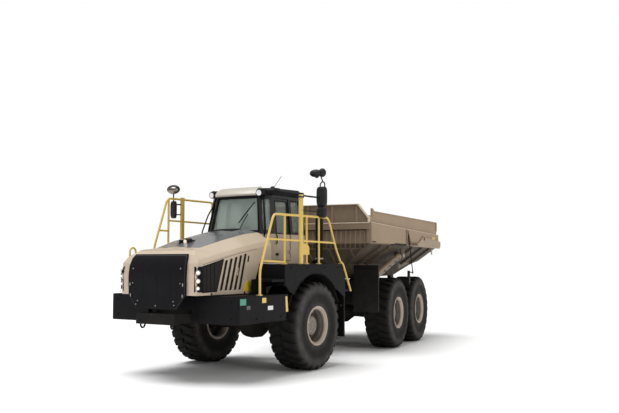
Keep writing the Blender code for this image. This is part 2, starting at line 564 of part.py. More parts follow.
def rear_axles():
    for name, x in (("mid", MID_X), ("rear", REAR_X)):
        axle = turned([(0, -1.06), (0.12, -1.06), (0.12, -0.34), (0.25, -0.16), (0.26, 0), (0.25, 0.16), (0.12, 0.34), (0.12, 1.06), (0, 1.06)], 16, (x, 0, AXLE_Z))
        piece(name + "_axle", axle, IRON, HITCH, (x, 0, AXLE_Z))
    mid = (MID_X + REAR_X) / 2
    for s, side in ((1, "left"), (-1, "right")):
        beam = side_prism([(MID_X + 0.12, 0.935), (MID_X + 0.12, 1.02), (mid, 1.16), (REAR_X - 0.12, 1.02), (REAR_X - 0.12, 0.935), (mid, 0.98)], *sorted((s * 0.56, s * 0.70)))
        pin = rod((mid, s * 0.4705, 1.09), (mid, s * 0.60, 1.09), 0.06, 12)
        piece("bogie_beam_" + side, joined(beam, [pin]), IRON, HITCH, (mid, s * 0.63, 1.08))
    shaft = joined(rod((-2.45, 0, 0.80), (-3.775, 0, AXLE_Z), 0.05, 10), [rod((-2.45, 0, 0.80), (-2.52, 0, 0.80), 0.09, 10)])
    piece("drive_shaft", shaft, IRON, HITCH, (-2.45, 0, 0.80))


def body_section(inset):
    w, k = BODY_HALF_W - inset, BODY_KNEE_Z + inset * 0.35
    return [(-0.80 + inset * 0.4, 1.40), (0.80 - inset * 0.4, 1.40), (0.80 - inset * 0.4, 1.93 + inset * 0.3), (w, k), (w, 3.6), (-w, 3.6), (-w, k), (-0.80 + inset * 0.4, 1.93 + inset * 0.3)]


def dump_body():
    outer = front_prism(body_section(0.0), -8.2, -1.8)
    side = side_prism([(BODY_FRONT_X, 3.20), (BODY_FRONT_X, 2.25), (-2.90, 1.60), (-5.60, 1.64), (-7.40, 1.96), (BODY_TAIL_X, 1.99), (BODY_TAIL_X, 2.80), (-7.46, 2.84), (-7.46, BODY_TOP_Z), (-2.46, BODY_TOP_Z + 0.01), (-2.20, 3.20)], -2, 2)
    outer = joined(outer, keep=[side])
    adds = []
    for s in (1, -1):
        adds.append(side_prism([(-2.08, 2.805), (-7.575, 2.70), (-7.575, 2.375), (-2.08, 2.375)], *sorted((s * 1.38, s * 1.47))))
        adds.append(side_prism([(-6.26, 1.70), (-6.44, 1.40), (-6.40, 1.36), (-6.30, 1.36), (-6.10, 1.60), (-6.0, 1.80), (-6.26, 1.95)], *sorted((s * 0.48, s * 0.58))))
        adds.append(side_prism([(-4.62, 2.40), (-4.70, 2.04), (-4.80, 2.04), (-4.92, 2.40)], *sorted((s * 1.14, s * 1.19))))
    adds.append(box(-2.13, -2.05, -1.45, 1.45, 2.66, 2.80))
    outer = joined(outer, adds)
    inner = front_prism(body_section(0.055), -8.3, BODY_FRONT_X - 0.06)
    hollow = side_prism([(-1.9, 3.7), (-1.9, 2.9), (BODY_FRONT_X - 0.06, 2.22), (-2.93, 1.665), (-5.60, 1.705), (-7.40, 2.025), (-8.5, 2.15), (-8.5, 3.7)], -2, 2)
    inner = joined(inner, keep=[hollow])
    bores = [rod((DUMP_X, s * 0.40, DUMP_Z), (DUMP_X, s * 0.70, DUMP_Z), 0.042, 14) for s in (1, -1)]
    chamfer = [front_prism([(s * 1.42, 2.90), (s * 1.10, 3.30), (s * 1.6, 3.30), (s * 1.6, 2.90)][::s], -2.35, -1.7) for s in (1, -1)]
    obj = joined(outer, cuts=[inner] + bores + chamfer)
    piece("dump_body", obj, PAINT, HITCH, (DUMP_X, 0, DUMP_Z))


def tailgate():
    panel = front_prism([(-0.86, 2.00), (0.86, 2.00), (1.38, 2.40), (1.38, 2.96), (-1.38, 2.96), (-1.38, 2.40)], -7.655, -7.595)
    adds = []
    for s in (1, -1):
        y = sorted((s * 1.478, s * 1.506))
        arm = side_prism([(-7.655, 2.40), (-7.655, 2.52), (-6.15, 2.60), (-6.04, 2.64), (-5.93, 2.58), (-5.55, 2.44), (-4.86, 2.44), (-4.66, 2.73), (-4.58, 2.73), (-4.56, 2.36), (-7.55, 2.33)], *y)
        adds.append(arm)
        adds.append(box(-7.655, -7.595, *sorted((s * 1.30, s * 1.506)), 2.40, 2.52))
    piece("tailgate", joined(panel, adds), PAINT, HITCH, (GATE_X, 0, GATE_Z))


def links():
    for s, side in ((1, "left"), (-1, "right")):
        y = s * 1.521
        bar = rod((LINK_X, y, LINK_Z), (ARM_X, y, ARM_Z), 0.011, 8)
        eyes = [rod((x, s * 1.511, z), (x, s * 1.531, z), 0.03, 12) for x, z in ((LINK_X, LINK_Z), (ARM_X, ARM_Z))]
        pin = rod((LINK_X, s * 1.442, LINK_Z), (LINK_X, s * 1.52, LINK_Z), 0.012, 8)
        piece("tailgate_link_" + side, joined(bar, eyes + [pin]), BLACK, HITCH, (LINK_X, y, LINK_Z))


def cylinder(stem, foot, head, closed, barrel_r, rod_r, eye, parent_foot, parent_rod, names):
    """A ram: an open barrel with an eye at its foot, and a rod with a piston end inside it and an eye at its head."""
    foot, head = Vector(foot), Vector(head)
    axis = (head - foot).normalized()
    length = (head - foot).length
    u = Vector((0, 1, 0)) if eye == "y" else Vector((0, 0, 1))
    start, mouth = barrel_r * 1.1, closed - barrel_r * 1.35
    inner_end = length - (closed - start - 0.05)
    barrel = turned_on([(0, start), (barrel_r, start), (barrel_r, mouth), (rod_r + 0.0015, mouth), (rod_r + 0.0015, start + 0.04), (0, start + 0.04)], 16, foot, head)
    lug = rod(foot - u * barrel_r * 0.62, foot + u * barrel_r * 0.62, barrel_r * 0.95, 14)
    neck = rod(foot, foot + axis * (start + 0.02), barrel_r * 0.55, 10)
    piece(names[0], joined(barrel, [lug, neck]), PAINT if stem == "hoist" else BLACK, parent_foot, foot, 40)
    shaft = rod(foot + axis * inner_end, head - axis * 0.01, rod_r, 16)
    tip = rod(head - u * barrel_r * 0.62, head + u * barrel_r * 0.62, barrel_r * 0.85, 14)
    piece(names[1], joined(shaft, [tip]), STEEL, parent_rod, foot + axis * 0.0, 40)


def rams():
    for s, side in ((1, "left"), (-1, "right")):
        foot = (HOIST_FOOT[0], s * HOIST_Y, HOIST_FOOT[1])
        head = (HOIST_HEAD[0], s * HOIST_Y, HOIST_HEAD[1])
        cylinder("hoist", foot, head, HOIST_CLOSED, 0.072, 0.045, "y", HITCH, HITCH, ("hoist_barrel_" + side, "hoist_rod_" + side))
        c, w = math.cos(REST_STEER), math.sin(REST_STEER)
        dx, dy = STEER_HEAD[0] - HITCH_X, s * STEER_HEAD[1]
        head = (HITCH_X + dx * c - dy * w, dx * w + dy * c, STEER_Z)
        foot = (STEER_FOOT[0], s * STEER_FOOT[1], STEER_Z)
        cylinder("steer", foot, head, STEER_CLOSED, 0.05, 0.028, "z", ROOT, ROOT, ("steer_barrel_" + side, "steer_rod_" + side))


front_frame()
front_axle()
engine()
hood()
grille()
bumper()
cab()
door()
glass()
interior()
exhaust()
for which in ("left", "right"):
    fender(which)
    handrail(which)
    mirror(which)
    wheel("front", 0.0, which, ROOT)
    wheel("mid", MID_X, which, HITCH)
    wheel("rear", REAR_X, which, HITCH)
hitch()
rear_frame()
rear_axles()
dump_body()
tailgate()
links()
rams()
bpy.context.view_layer.update()
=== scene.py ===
"""Looks of the articulated dump truck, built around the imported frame. Lengths in metres."""
import math
import bpy
import bmesh
from mathutils import Matrix, Vector, noise


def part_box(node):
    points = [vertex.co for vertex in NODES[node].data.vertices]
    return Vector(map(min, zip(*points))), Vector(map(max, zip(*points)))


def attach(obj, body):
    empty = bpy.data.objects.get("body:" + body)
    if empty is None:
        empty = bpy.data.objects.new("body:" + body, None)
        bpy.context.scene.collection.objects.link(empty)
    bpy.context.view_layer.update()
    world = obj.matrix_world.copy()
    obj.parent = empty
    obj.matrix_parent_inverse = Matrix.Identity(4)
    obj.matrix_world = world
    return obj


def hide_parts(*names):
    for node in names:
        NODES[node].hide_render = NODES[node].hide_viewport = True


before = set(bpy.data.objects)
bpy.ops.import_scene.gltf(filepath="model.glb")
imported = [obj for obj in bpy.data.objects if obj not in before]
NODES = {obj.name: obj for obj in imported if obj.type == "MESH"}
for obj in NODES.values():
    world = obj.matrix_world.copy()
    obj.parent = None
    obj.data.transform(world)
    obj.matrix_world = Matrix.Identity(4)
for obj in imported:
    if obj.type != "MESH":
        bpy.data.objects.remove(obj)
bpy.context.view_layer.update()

# ---- the truck frame: X is 0 at the front axle, and the rear section is turned at the hitch ----
lo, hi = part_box("front_axle")
SX, SY = (lo[0] + hi[0]) / 2, (lo[1] + hi[1]) / 2
AXLE_Z = (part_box("tyre_front_left")[0][2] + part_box("tyre_front_left")[1][2]) / 2
HX, ART = -1.40, math.radians(7.77)
FRONT = Matrix.Translation((SX, SY, 0))
REAR = Matrix.Translation((SX + HX, SY, 0)) @ Matrix.Rotation(ART, 4, "Z") @ Matrix.Translation((-HX, 0, 0))
MID_X, REAR_X, TRACK = -4.048, -5.750, 1.152
DECK = 1.93
COLLECTION = bpy.context.scene.collection


# ---- materials --------------------------------------------------------------------------------
class Mat:
    """A small helper that wires a procedural Principled material."""

    def __init__(self, name, rough=0.5, metal=0.0, coat=0.0, shine=0.5):
        self.m = bpy.data.materials.new(name)
        self.m.use_nodes = True
        self.t = self.m.node_tree
        self.p = self.t.nodes["Principled BSDF"]
        self.p.inputs["Roughness"].default_value = rough
        self.p.inputs["Metallic"].default_value = metal
        self.p.inputs["Coat Weight"].default_value = coat
        self.p.inputs["Coat Roughness"].default_value = 0.12
        self.p.inputs["Specular IOR Level"].default_value = shine
        self.coord = self.t.nodes.new("ShaderNodeTexCoord").outputs["Object"]

    def node(self, kind, **values):
        n = self.t.nodes.new(kind)
        for key, value in values.items():
            if key in n.inputs.keys():
                n.inputs[key].default_value = value
            else:
                setattr(n, key, value)
        return n

    def link(self, a, b):
        self.t.links.new(a, b)
        return self

    def noise(self, scale, detail=4.0, rough=0.55, coord=None):
        n = self.node("ShaderNodeTexNoise")
        n.inputs["Scale"].default_value = scale
        n.inputs["Detail"].default_value = detail
        n.inputs["Roughness"].default_value = rough
        self.link(coord or self.coord, n.inputs["Vector"])
        return n.outputs["Fac"]

    def ramp(self, source, a, b, low=0.0, high=1.0):
        n = self.node("ShaderNodeMapRange")
        n.inputs["From Min"].default_value, n.inputs["From Max"].default_value = a, b
        n.inputs["To Min"].default_value, n.inputs["To Max"].default_value = low, high
        self.link(source, n.inputs["Value"])
        return n.outputs["Result"]

    def math(self, op, a, b=None):
        n = self.node("ShaderNodeMath", operation=op)
        for i, v in enumerate((a, b)):
            if v is None:
                continue
            if isinstance(v, (int, float)):
                n.inputs[i].default_value = v
            else:
                self.link(v, n.inputs[i])
        return n.outputs[0]

    def mix(self, fac, a, b):
        n = self.node("ShaderNodeMix", data_type="RGBA")
        for socket, v in ((n.inputs[0], fac), (n.inputs[6], a), (n.inputs[7], b)):
            if isinstance(v, (tuple, list)):
                socket.default_value = (*v, 1)
            elif isinstance(v, (int, float)):
                socket.default_value = v
            else:
                self.link(v, socket)
        return n.outputs[2]

    def xyz(self, coord=None):
        n = self.node("ShaderNodeSeparateXYZ")
        self.link(coord or self.coord, n.inputs[0])
        return n.outputs

    def colour(self, v):
        if isinstance(v, tuple):
            self.p.inputs["Base Color"].default_value = (*v, 1)
        else:
            self.link(v, self.p.inputs["Base Color"])
        return self

    def rough(self, v):
        self.link(v, self.p.inputs["Roughness"])
        return self

    def bump(self, height, strength=0.3, distance=0.002):
        n = self.node("ShaderNodeBump")
        n.inputs["Strength"].default_value = strength
        n.inputs["Distance"].default_value = distance
        self.link(height, n.inputs["Height"])
        self.link(n.outputs[0], self.p.inputs["Normal"])
        return self


def paint(name, base, dust, amount, rough=0.34, coat=0.35, low=0.9, shine=0.5, painted_shade=None):
    """Sprayed paint: faint tone drift, fine orange peel, and road dust that thickens low down. Given a shade colour, it
    also paints shade on a body's sloped underside and front wall.
    """
    m = Mat(name, rough, 0, coat, shine)
    x, y, z = m.xyz()
    drift = m.mix(m.noise(1.3, 3), tuple(c * 0.94 for c in base), tuple(min(1, c * 1.05) for c in base))
    grime = m.math("MULTIPLY", m.ramp(m.noise(2.2, 8, 0.65), 0.42, 0.75), m.ramp(z, low + 1.0, low - 0.4, 0.35, 1.0))
    fac = m.math("MULTIPLY", grime, amount)
    tone = m.mix(fac, drift, dust)
    if painted_shade:
        # painted shade: the sloped underside and the front wall are mixed towards a dark brown, a little varied by
        # noise
        under = m.ramp(z, 2.385, 2.350)
        along = m.math("ADD", m.math("MULTIPLY", x, math.cos(ART)), m.math("MULTIPLY", y, math.sin(ART)))
        front = m.ramp(along, FRONT_WALL - 0.06, FRONT_WALL - 0.01, 0.0, 0.42)
        shade_noise = m.ramp(m.noise(3.0, 8, 0.7), 0.30, 0.70, 0.80, 1.0)
        tone = m.mix(m.math("MULTIPLY", m.math("MAXIMUM", under, front), shade_noise), tone, painted_shade)
    m.colour(tone)
    m.rough(m.math("ADD", m.ramp(m.noise(14, 5), 0.3, 0.7, rough - 0.05, rough + 0.08), m.math("MULTIPLY", fac, 0.4)))
    m.bump(m.noise(260, 2), 0.08, 0.001)
    return m.m


DUST = (0.30, 0.245, 0.19)
# where the dump body's front wall stands along the turned rear section; the body paint's painted shade on the front
# wall starts there
FRONT_WALL = (SX + HX) * math.cos(ART) + SY * math.sin(ART) - HX - 2.12
BEIGE = paint("champagne_paint", (0.47, 0.375, 0.275), DUST, 0.35)
VISOR_PAINT = paint("visor_pale_paint", (0.50, 0.46, 0.395), DUST, 0.20)
# dump body paint: darker dust low down, and near-black brown painted shade on the sloped underside and the front wall
BODY_PAINT = paint("champagne_paint_painted_shade_below", (0.350, 0.260, 0.178), (0.215, 0.165, 0.12), 0.55, 0.55, 0.0, 1.9, 0.12, (0.034, 0.026, 0.019))
# its ribs: the same paint, with a lighter painted shade
BODY_RIB = paint("champagne_paint_rib", (0.350, 0.260, 0.178), (0.215, 0.165, 0.12), 0.55, 0.55, 0.0, 1.9, 0.12, (0.085, 0.062, 0.044))
BEIGE_BODY = paint("champagne_paint_body", (0.350, 0.260, 0.178), (0.215, 0.165, 0.12), 0.55, 0.45, 0.10, 1.9, 0.35)
BEIGE_DARK = paint("champagne_paint_worn_inside", (0.24, 0.185, 0.135), (0.20, 0.16, 0.12), 0.9, 0.55, 0.0, 2.6)
BLACK = paint("satin_black_paint", (0.0055, 0.0055, 0.0068), DUST, 0.020, 0.46, 0.0, 0.9, 0.10)
YELLOW = paint("safety_yellow_paint", (0.68, 0.465, 0.095), DUST, 0.16, 0.36, 0.2)
CHASSIS = paint("chassis_black_dusty", (0.0085, 0.0080, 0.0075), (0.075, 0.062, 0.050), 0.30, 0.65, 0.0, 0.9, 0.15)


def rubber(name, sidewall):
    """Tyre rubber. Round the wheel's axis the shoulder carries a paler ring of dust."""
    m = Mat(name, 0.85, shine=0.15)
    x, y, z = m.xyz()
    r = m.math("SQRT", m.math("ADD", m.math("MULTIPLY", x, x), m.math("MULTIPLY", z, z)))
    base = m.mix(m.noise(9, 6), (0.0085, 0.0080, 0.0078), (0.0175, 0.0165, 0.0155))
    dust = m.mix(m.noise(5, 7, 0.6), (0.075, 0.070, 0.064), (0.125, 0.118, 0.108))
    if sidewall:
        ring = m.math("MULTIPLY", m.ramp(r, 0.56, 0.66), m.ramp(r, 0.775, 0.70))
        bead = m.ramp(r, 0.46, 0.38, 0.0, 0.45)
        side = m.ramp(m.math("ABSOLUTE", y), 0.22, 0.29)
        fac = m.math("MULTIPLY", side, m.math("ADD", m.math("ADD", m.math("MULTIPLY", ring, 0.70), bead), 0.13))
        fac = m.math("MULTIPLY", fac, m.ramp(m.noise(7, 8, 0.7), 0.3, 0.68, 0.35, 1.0))
    else:
        fac = m.ramp(m.noise(11, 8, 0.7), 0.5, 0.8, 0.0, 0.4)
    m.colour(m.mix(fac, base, dust))
    m.bump(m.math("ADD", m.noise(120, 4), m.math("MULTIPLY", m.noise(24, 3), 0.6)), 0.25, 0.004)
    return m.m


RUBBER = rubber("tyre_rubber_dusty", True)
SEAL = rubber("dark_rubber_and_slot_shade", False)


def plain(name, colour, rough, metal=0.0, scale=40.0, strength=0.15, vary=0.15, coat=0.0, shine=0.5):
    m = Mat(name, rough, metal, coat, shine)
    f = m.noise(scale, 5)
    m.colour(m.mix(f, tuple(c * (1 - vary) for c in colour), tuple(min(1, c * (1 + vary)) for c in colour)))
    m.rough(m.ramp(m.noise(scale * 0.6, 4), 0.3, 0.7, max(0.02, rough - 0.08), min(1, rough + 0.08)))
    m.bump(m.noise(scale * 6, 2), strength, 0.001)
    return m.m


CHROME = plain("hard_chrome", (0.66, 0.66, 0.68), 0.14, 1.0, 20, 0.02, 0.05)
STEEL = plain("zinc_bolt_steel", (0.42, 0.42, 0.41), 0.38, 0.9, 60, 0.1)
PLASTIC = plain("moulded_black_plastic", (0.012, 0.012, 0.013), 0.5, 0, 300, 0.3, shine=0.3)
PLASTIC_GREY = plain("moulded_grey_plastic", (0.10, 0.10, 0.105), 0.6, 0, 300, 0.3)
HUB = plain("planetary_hub_grey", (0.235, 0.205, 0.175), 0.6, 0.0, 25, 0.3, 0.25, shine=0.3)
AXLE_IRON = plain("axle_iron_dusty", (0.020, 0.018, 0.016), 0.7, 0.0, 14, 0.4, 0.5, shine=0.15)
REFLECTOR = plain("amber_reflector", (0.72, 0.50, 0.07), 0.3, 0, 90, 0.2, 0.1, 0.5)
LABEL_GREEN = plain("blank_label_green", (0.06, 0.30, 0.20), 0.4, 0, 60, 0.05, 0.1)
LABEL_WHITE = plain("blank_label_white", (0.72, 0.72, 0.70), 0.4, 0, 60, 0.05, 0.05)
LABEL_YELLOW = plain("blank_label_yellow", (0.80, 0.58, 0.05), 0.4, 0, 60, 0.05, 0.08)


def mesh_cloth(name):
    """Woven steel mesh of the air inlets: dark, with a fine crossed bump."""
    m = Mat(name, 0.6, 0.0, 0.0, 0.2)
    x, y, z = m.xyz()
    wave = lambda v: m.math("SINE", m.math("MULTIPLY", v, 520.0))
    grid = m.math("MULTIPLY", wave(m.math("ADD", x, m.math("MULTIPLY", y, 1.0))), wave(z))
    m.colour(m.mix(m.ramp(grid, -0.2, 0.6), (0.008, 0.008, 0.009), (0.040, 0.035, 0.030)))
    m.bump(grid, 0.6, 0.003)
    return m.m


MESH = mesh_cloth("inlet_mesh")


def fabric(name, colour):
    m = Mat(name, 0.95)
    m.p.inputs["Sheen Weight"].default_value = 0.3
    x, y, z = m.xyz()
    wave = lambda v, f: m.math("SINE", m.math("MULTIPLY", v, f))
    weave = m.math("MULTIPLY", wave(m.math("ADD", x, z), 900.0), wave(y, 900.0))
    m.colour(m.mix(m.ramp(weave, -1, 1), tuple(c * 0.7 for c in colour), tuple(c * 1.25 for c in colour)))
    m.bump(weave, 0.5, 0.001)
    return m.m


CLOTH = fabric("seat_weave", (0.045, 0.045, 0.05))


def glass(name, tint, alpha, wave=0.003):
    m = Mat(name, 0.04, 0, 0.0)
    m.p.inputs["IOR"].default_value = 1.5
    m.p.inputs["Alpha"].default_value = alpha
    m.p.inputs["Specular IOR Level"].default_value = 0.6
    m.colour(m.mix(m.noise(1.5, 3), tuple(c * 0.9 for c in tint), tuple(min(1, c * 1.08) for c in tint)))
    m.bump(m.noise(3, 1), wave, 0.001)
    return m.m


WINDSCREEN = glass("windscreen_tinted", (0.41, 0.50, 0.445), 0.58)
GLASS = glass("tinted_glass", (0.225, 0.255, 0.215), 0.52)
LENS_DARK = glass("lamp_lens_dark", (0.10, 0.10, 0.10), 1.0)


def lamp(name, colour, strength):
    m = Mat(name, 0.15, 0, 0.6)
    m.p.inputs["Emission Strength"].default_value = strength
    m.p.inputs["Emission Color"].default_value = (*colour, 1)
    m.colour(m.mix(m.noise(60, 2), tuple(c * 0.85 for c in colour), colour))
    m.bump(m.noise(150, 1), 0.2, 0.001)
    return m.m


LAMP = lamp("lamp_lens_glow_also_painted_on_camera", (1.0, 0.84, 0.70), 0.42)
MIRROR_TINTED = plain("mirror_face_tinted", (0.24, 0.215, 0.19), 0.22, 1.0, 16, 0.05, 0.30)
MIRROR = plain("mirror_face", (0.55, 0.56, 0.56), 0.05, 1.0, 4, 0.0, 0.05)


# ---- shapes -----------------------------------------------------------------------------------
class Build:
    """Collects many small shapes, each with its own material, into one mesh object."""

    def __init__(self, name, where=FRONT):
        self.name, self.where = name, where
        self.bm = bmesh.new()
        self.mats = []

    def slot(self, mat):
        if mat not in self.mats:
            self.mats.append(mat)
        return self.mats.index(mat)

    def faces(self, verts, faces, mat, smooth=False):
        index = self.slot(mat)
        made = [self.bm.verts.new(v) for v in verts]
        out = []
        for f in faces:
            try:
                face = self.bm.faces.new([made[i] for i in f])
            except ValueError:
                continue
            face.material_index = index
            face.smooth = smooth
            out.append(face)
        return made, out

    def loft(self, rings, mat, smooth=False, cap=True):
        n = len(rings[0])
        verts = [p for r in rings for p in r]
        faces = []
        if cap:
            faces += [list(range(n))[::-1], [(len(rings) - 1) * n + i for i in range(n)]]
        for k in range(len(rings) - 1):
            for i in range(n):
                j = (i + 1) % n
                faces.append([k * n + i, k * n + j, (k + 1) * n + j, (k + 1) * n + i])
        made, out = self.faces(verts, faces, mat, smooth)
        bmesh.ops.recalc_face_normals(self.bm, faces=out)
        if cap:
            for f in out[:2]:
                f.smooth = False
        return made, out

    def box(self, x, y, z, mat, bevel=0.006, turn=None):
        made, out = self.loft([[(x[0], y[0], c), (x[1], y[0], c), (x[1], y[1], c), (x[0], y[1], c)] for c in z], mat)
        if turn is not None:
            bmesh.ops.transform(self.bm, matrix=turn, verts=made)
        if bevel:
            edges = list({e for f in out for e in f.edges})
            done = bmesh.ops.bevel(self.bm, geom=edges, offset=bevel, segments=2, profile=0.6, affect="EDGES", clamp_overlap=True)
            for f in done["faces"]:
                f.material_index = self.slot(mat)
                f.smooth = True
        return self

    def prism(self, axis, pts, a, b, mat, bevel=0.0):
        put = {"x": lambda p, c: (c, p[0], p[1]), "y": lambda p, c: (p[0], c, p[1]), "z": lambda p, c: (p[0], p[1], c)}[axis]
        made, out = self.loft([[put(p, c) for p in pts] for c in (a, b)], mat)
        if bevel:
            edges = list({e for f in out for e in f.edges})
            done = bmesh.ops.bevel(self.bm, geom=edges, offset=bevel, segments=2, profile=0.6, affect="EDGES", clamp_overlap=True)
            for f in done["faces"]:
                f.material_index = self.slot(mat)
                f.smooth = True
        return self

    def round(self, p, q, profile, mat, n=16, cap=True):
        """A turned shape from p to q; profile is (share of the way or metres, radius)."""
        p, q = Vector(p), Vector(q)
        axis = (q - p)
        length = axis.length
        z = axis.normalized()
        up = Vector((0, 0, 1)) if abs(z.z) < 0.9 else Vector((1, 0, 0))
        u = up.cross(z).normalized()
        v = z.cross(u)
        rings = []
        for at, r in profile:
            c = p + z * at
            rings.append([c + r * (math.cos(2 * math.pi * i / n) * u + math.sin(2 * math.pi * i / n) * v) for i in range(n)])
        self.loft(rings, mat, True, cap)
        return self

    def rod(self, p, q, r, mat, n=12):
        length = (Vector(q) - Vector(p)).length
        e = min(r * 0.25, length * 0.2)
        return self.round(p, q, [(0, r - e), (e, r), (length - e, r), (length, r - e)], mat, n)

    def bolt(self, p, out, r, mat=None):
        """A hexagon bolt head on a washer, standing out of a face."""
        out = Vector(out).normalized()
        p = Vector(p)
        self.round(p - out * 0.004, p + out * 0.01, [(0, r * 1.35), (0.006, r * 1.35), (0.007, r * 1.2)], mat or STEEL, 12)
        self.round(p, p + out * 0.02, [(0, r), (0.010 + r * 0.3, r), (0.012 + r * 0.35, r * 0.8)], mat or STEEL, 6)
        return self

    def pipe(self, points, r, mat, n=10, bend=0.06):
        """A bent tube: straight runs with a rounded corner at each inner point."""
        pts = [Vector(p) for p in points]
        path = [pts[0]]
        for a, b, c in zip(pts, pts[1:], pts[2:]):
            d = min(bend, (b - a).length * 0.45, (c - b).length * 0.45)
            s, e = b + (a - b).normalized() * d, b + (c - b).normalized() * d
            for k in range(5):
                t = k / 4
                path.append((1 - t) ** 2 * s + 2 * t * (1 - t) * b + t * t * e)
        path.append(pts[-1])
        rings, u = [], None
        for i, p in enumerate(path):
            t = (path[min(i + 1, len(path) - 1)] - path[max(i - 1, 0)]).normalized()
            if u is None:
                up = Vector((0, 1, 0)) if abs(t.y) < 0.9 else Vector((0, 0, 1))
                u = up.cross(t).normalized()
            u = (u - t * u.dot(t)).normalized()
            v = t.cross(u)
            rings.append([p + r * (math.cos(2 * math.pi * k / n) * u + math.sin(2 * math.pi * k / n) * v) for k in range(n)])
        self.loft(rings, mat, True)
        return self

    def done(self, body, at=None, replaces=(), slot=None, sharp=38, subdivide=0):
        """Makes the object. With at, the shapes were built round that point of the truck frame."""
        limit = math.radians(sharp)
        for f in self.bm.faces:
            f.smooth = True
        for e in self.bm.edges:
            if len(e.link_faces) == 2 and e.calc_face_angle(0) > limit:
                e.smooth = False
        mesh = bpy.data.meshes.new(self.name)
        if at is None:
            bmesh.ops.transform(self.bm, matrix=self.where, verts=self.bm.verts)
        self.bm.to_mesh(mesh)
        self.bm.free()
        obj = bpy.data.objects.new(self.name, mesh)
        for m in self.mats:
            mesh.materials.append(m)
        COLLECTION.objects.link(obj)
        if at is not None:
            obj.matrix_world = self.where @ Matrix.Translation(at)
        bpy.context.view_layer.update()
        if subdivide:
            mod = obj.modifiers.new("smooth", "SUBSURF")
            mod.levels = mod.render_levels = subdivide
        else:
            mod = obj.modifiers.new("normals", "WEIGHTED_NORMAL")
            mod.keep_sharp = True
        if replaces:
            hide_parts(*replaces)
        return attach(obj, body)


def skin(node, *mats, bevel=0.006, angle=32):
    """Keeps a CAD node, with softened edges and a better material."""
    obj = NODES[node]
    if obj.material_slots:
        for i, slot in enumerate(obj.material_slots):
            slot.material = mats[min(i, len(mats) - 1)]
    else:
        obj.data.materials.append(mats[0])
    if bevel:
        weld = obj.modifiers.new("weld", "WELD")
        weld.merge_threshold = 0.00005
        mod = obj.modifiers.new("edges", "BEVEL")
        mod.width, mod.segments, mod.limit_method = bevel, 2, "ANGLE"
        mod.angle_limit = math.radians(angle)
        mod.use_clamp_overlap = True
    normals = obj.modifiers.new("normals", "WEIGHTED_NORMAL")
    normals.keep_sharp = True
    for p in obj.data.polygons:
        p.use_smooth = True
    return obj


def lerp(table, x):
    """Straight-line reading of a table of (x, value) pairs, in rising order of x."""
    if x <= table[0][0]:
        return table[0][1]
    for (a, va), (b, vb) in zip(table, table[1:]):
        if x <= b:
            return va + (vb - va) * (x - a) / (b - a)
    return table[-1][1]


# ---- wheels -----------------------------------------------------------------------------------
R = AXLE_Z - 0.0005


def ring_surface(b, profile, mat, n, closed=True):
    """Turns a profile of (radius, y) round the Y axis."""
    rings = []
    for i in range(n):
        a = 2 * math.pi * i / n
        rings.append([(r * math.cos(a), y, r * math.sin(a)) for r, y in profile])
    k = len(profile)
    verts = [p for r in rings for p in r]
    faces = []
    for i in range(n):
        j = (i + 1) % n
        for q in range(k if closed else k - 1):
            w = (q + 1) % k
            faces.append([i * k + q, i * k + w, j * k + w, j * k + q])
    made, out = b.faces(verts, faces, mat, True)
    bmesh.ops.recalc_face_normals(b.bm, faces=out)
    return out


def tyre(where, body, label, at, side):
    b = Build("tread_tyre_" + label, where)
    half = [(0.3640, 0.262), (0.3660, 0.280), (0.380, 0.288), (0.398, 0.291), (0.405, 0.286), (0.420, 0.288), (0.450, 0.300), (0.500, 0.3085), (0.508, 0.3125), (0.520, 0.3125), (0.528, 0.309), (0.560, 0.3125), (0.600, 0.314), (0.640, 0.311), (0.648, 0.3135), (0.662, 0.3125), (0.668, 0.306), (0.700, 0.296), (0.735, 0.278), (0.752, 0.255), (0.760, 0.215), (0.764, 0.10)]
    profile = [(r, y) for r, y in half] + [(r, -y) for r, y in half[::-1]]
    ring_surface(b, profile, RUBBER, 96)
    count = 26
    for s in (1, -1):
        for i in range(count):
            base = 2 * math.pi * (i + (0.25 if s > 0 else 0.75)) / count
            step = 2 * math.pi / count
            # across the tread: y, the lug's lean round the wheel, half its width, top and foot radius
            rows = [
                (0.022, 0.34, 0.235, 0.8015, 0.755),
                (0.110, 0.20, 0.255, 0.8025, 0.755),
                (0.190, 0.02, 0.275, 0.8020, 0.752),
                (0.246, -0.02, 0.295, 0.7990, 0.742),
                (0.280, -0.02, 0.300, 0.7700, 0.722),
                (0.3005, -0.02, 0.290, 0.7250, 0.690),
            ]
            rings = []
            for y, lean, wide, top, foot in rows:
                a0, a1 = base + (lean - wide) * step, base + (lean + wide) * step
                e = 0.045 * step
                y_in = y - (0.016 if y > 0.27 else 0)
                pts = [(foot, a0 - e, y_in), (top - 0.006, a0, y), (top, a0 + e, y), (top, a1 - e, y), (top - 0.006, a1, y), (foot, a1 + e, y_in)]
                rings.append([(r * math.cos(a), s * yy, r * math.sin(a)) for r, a, yy in pts])
            b.loft(rings, RUBBER)
    return b.done(body, at, replaces=["tyre_" + label], slot="tyre_rubber", sharp=42)


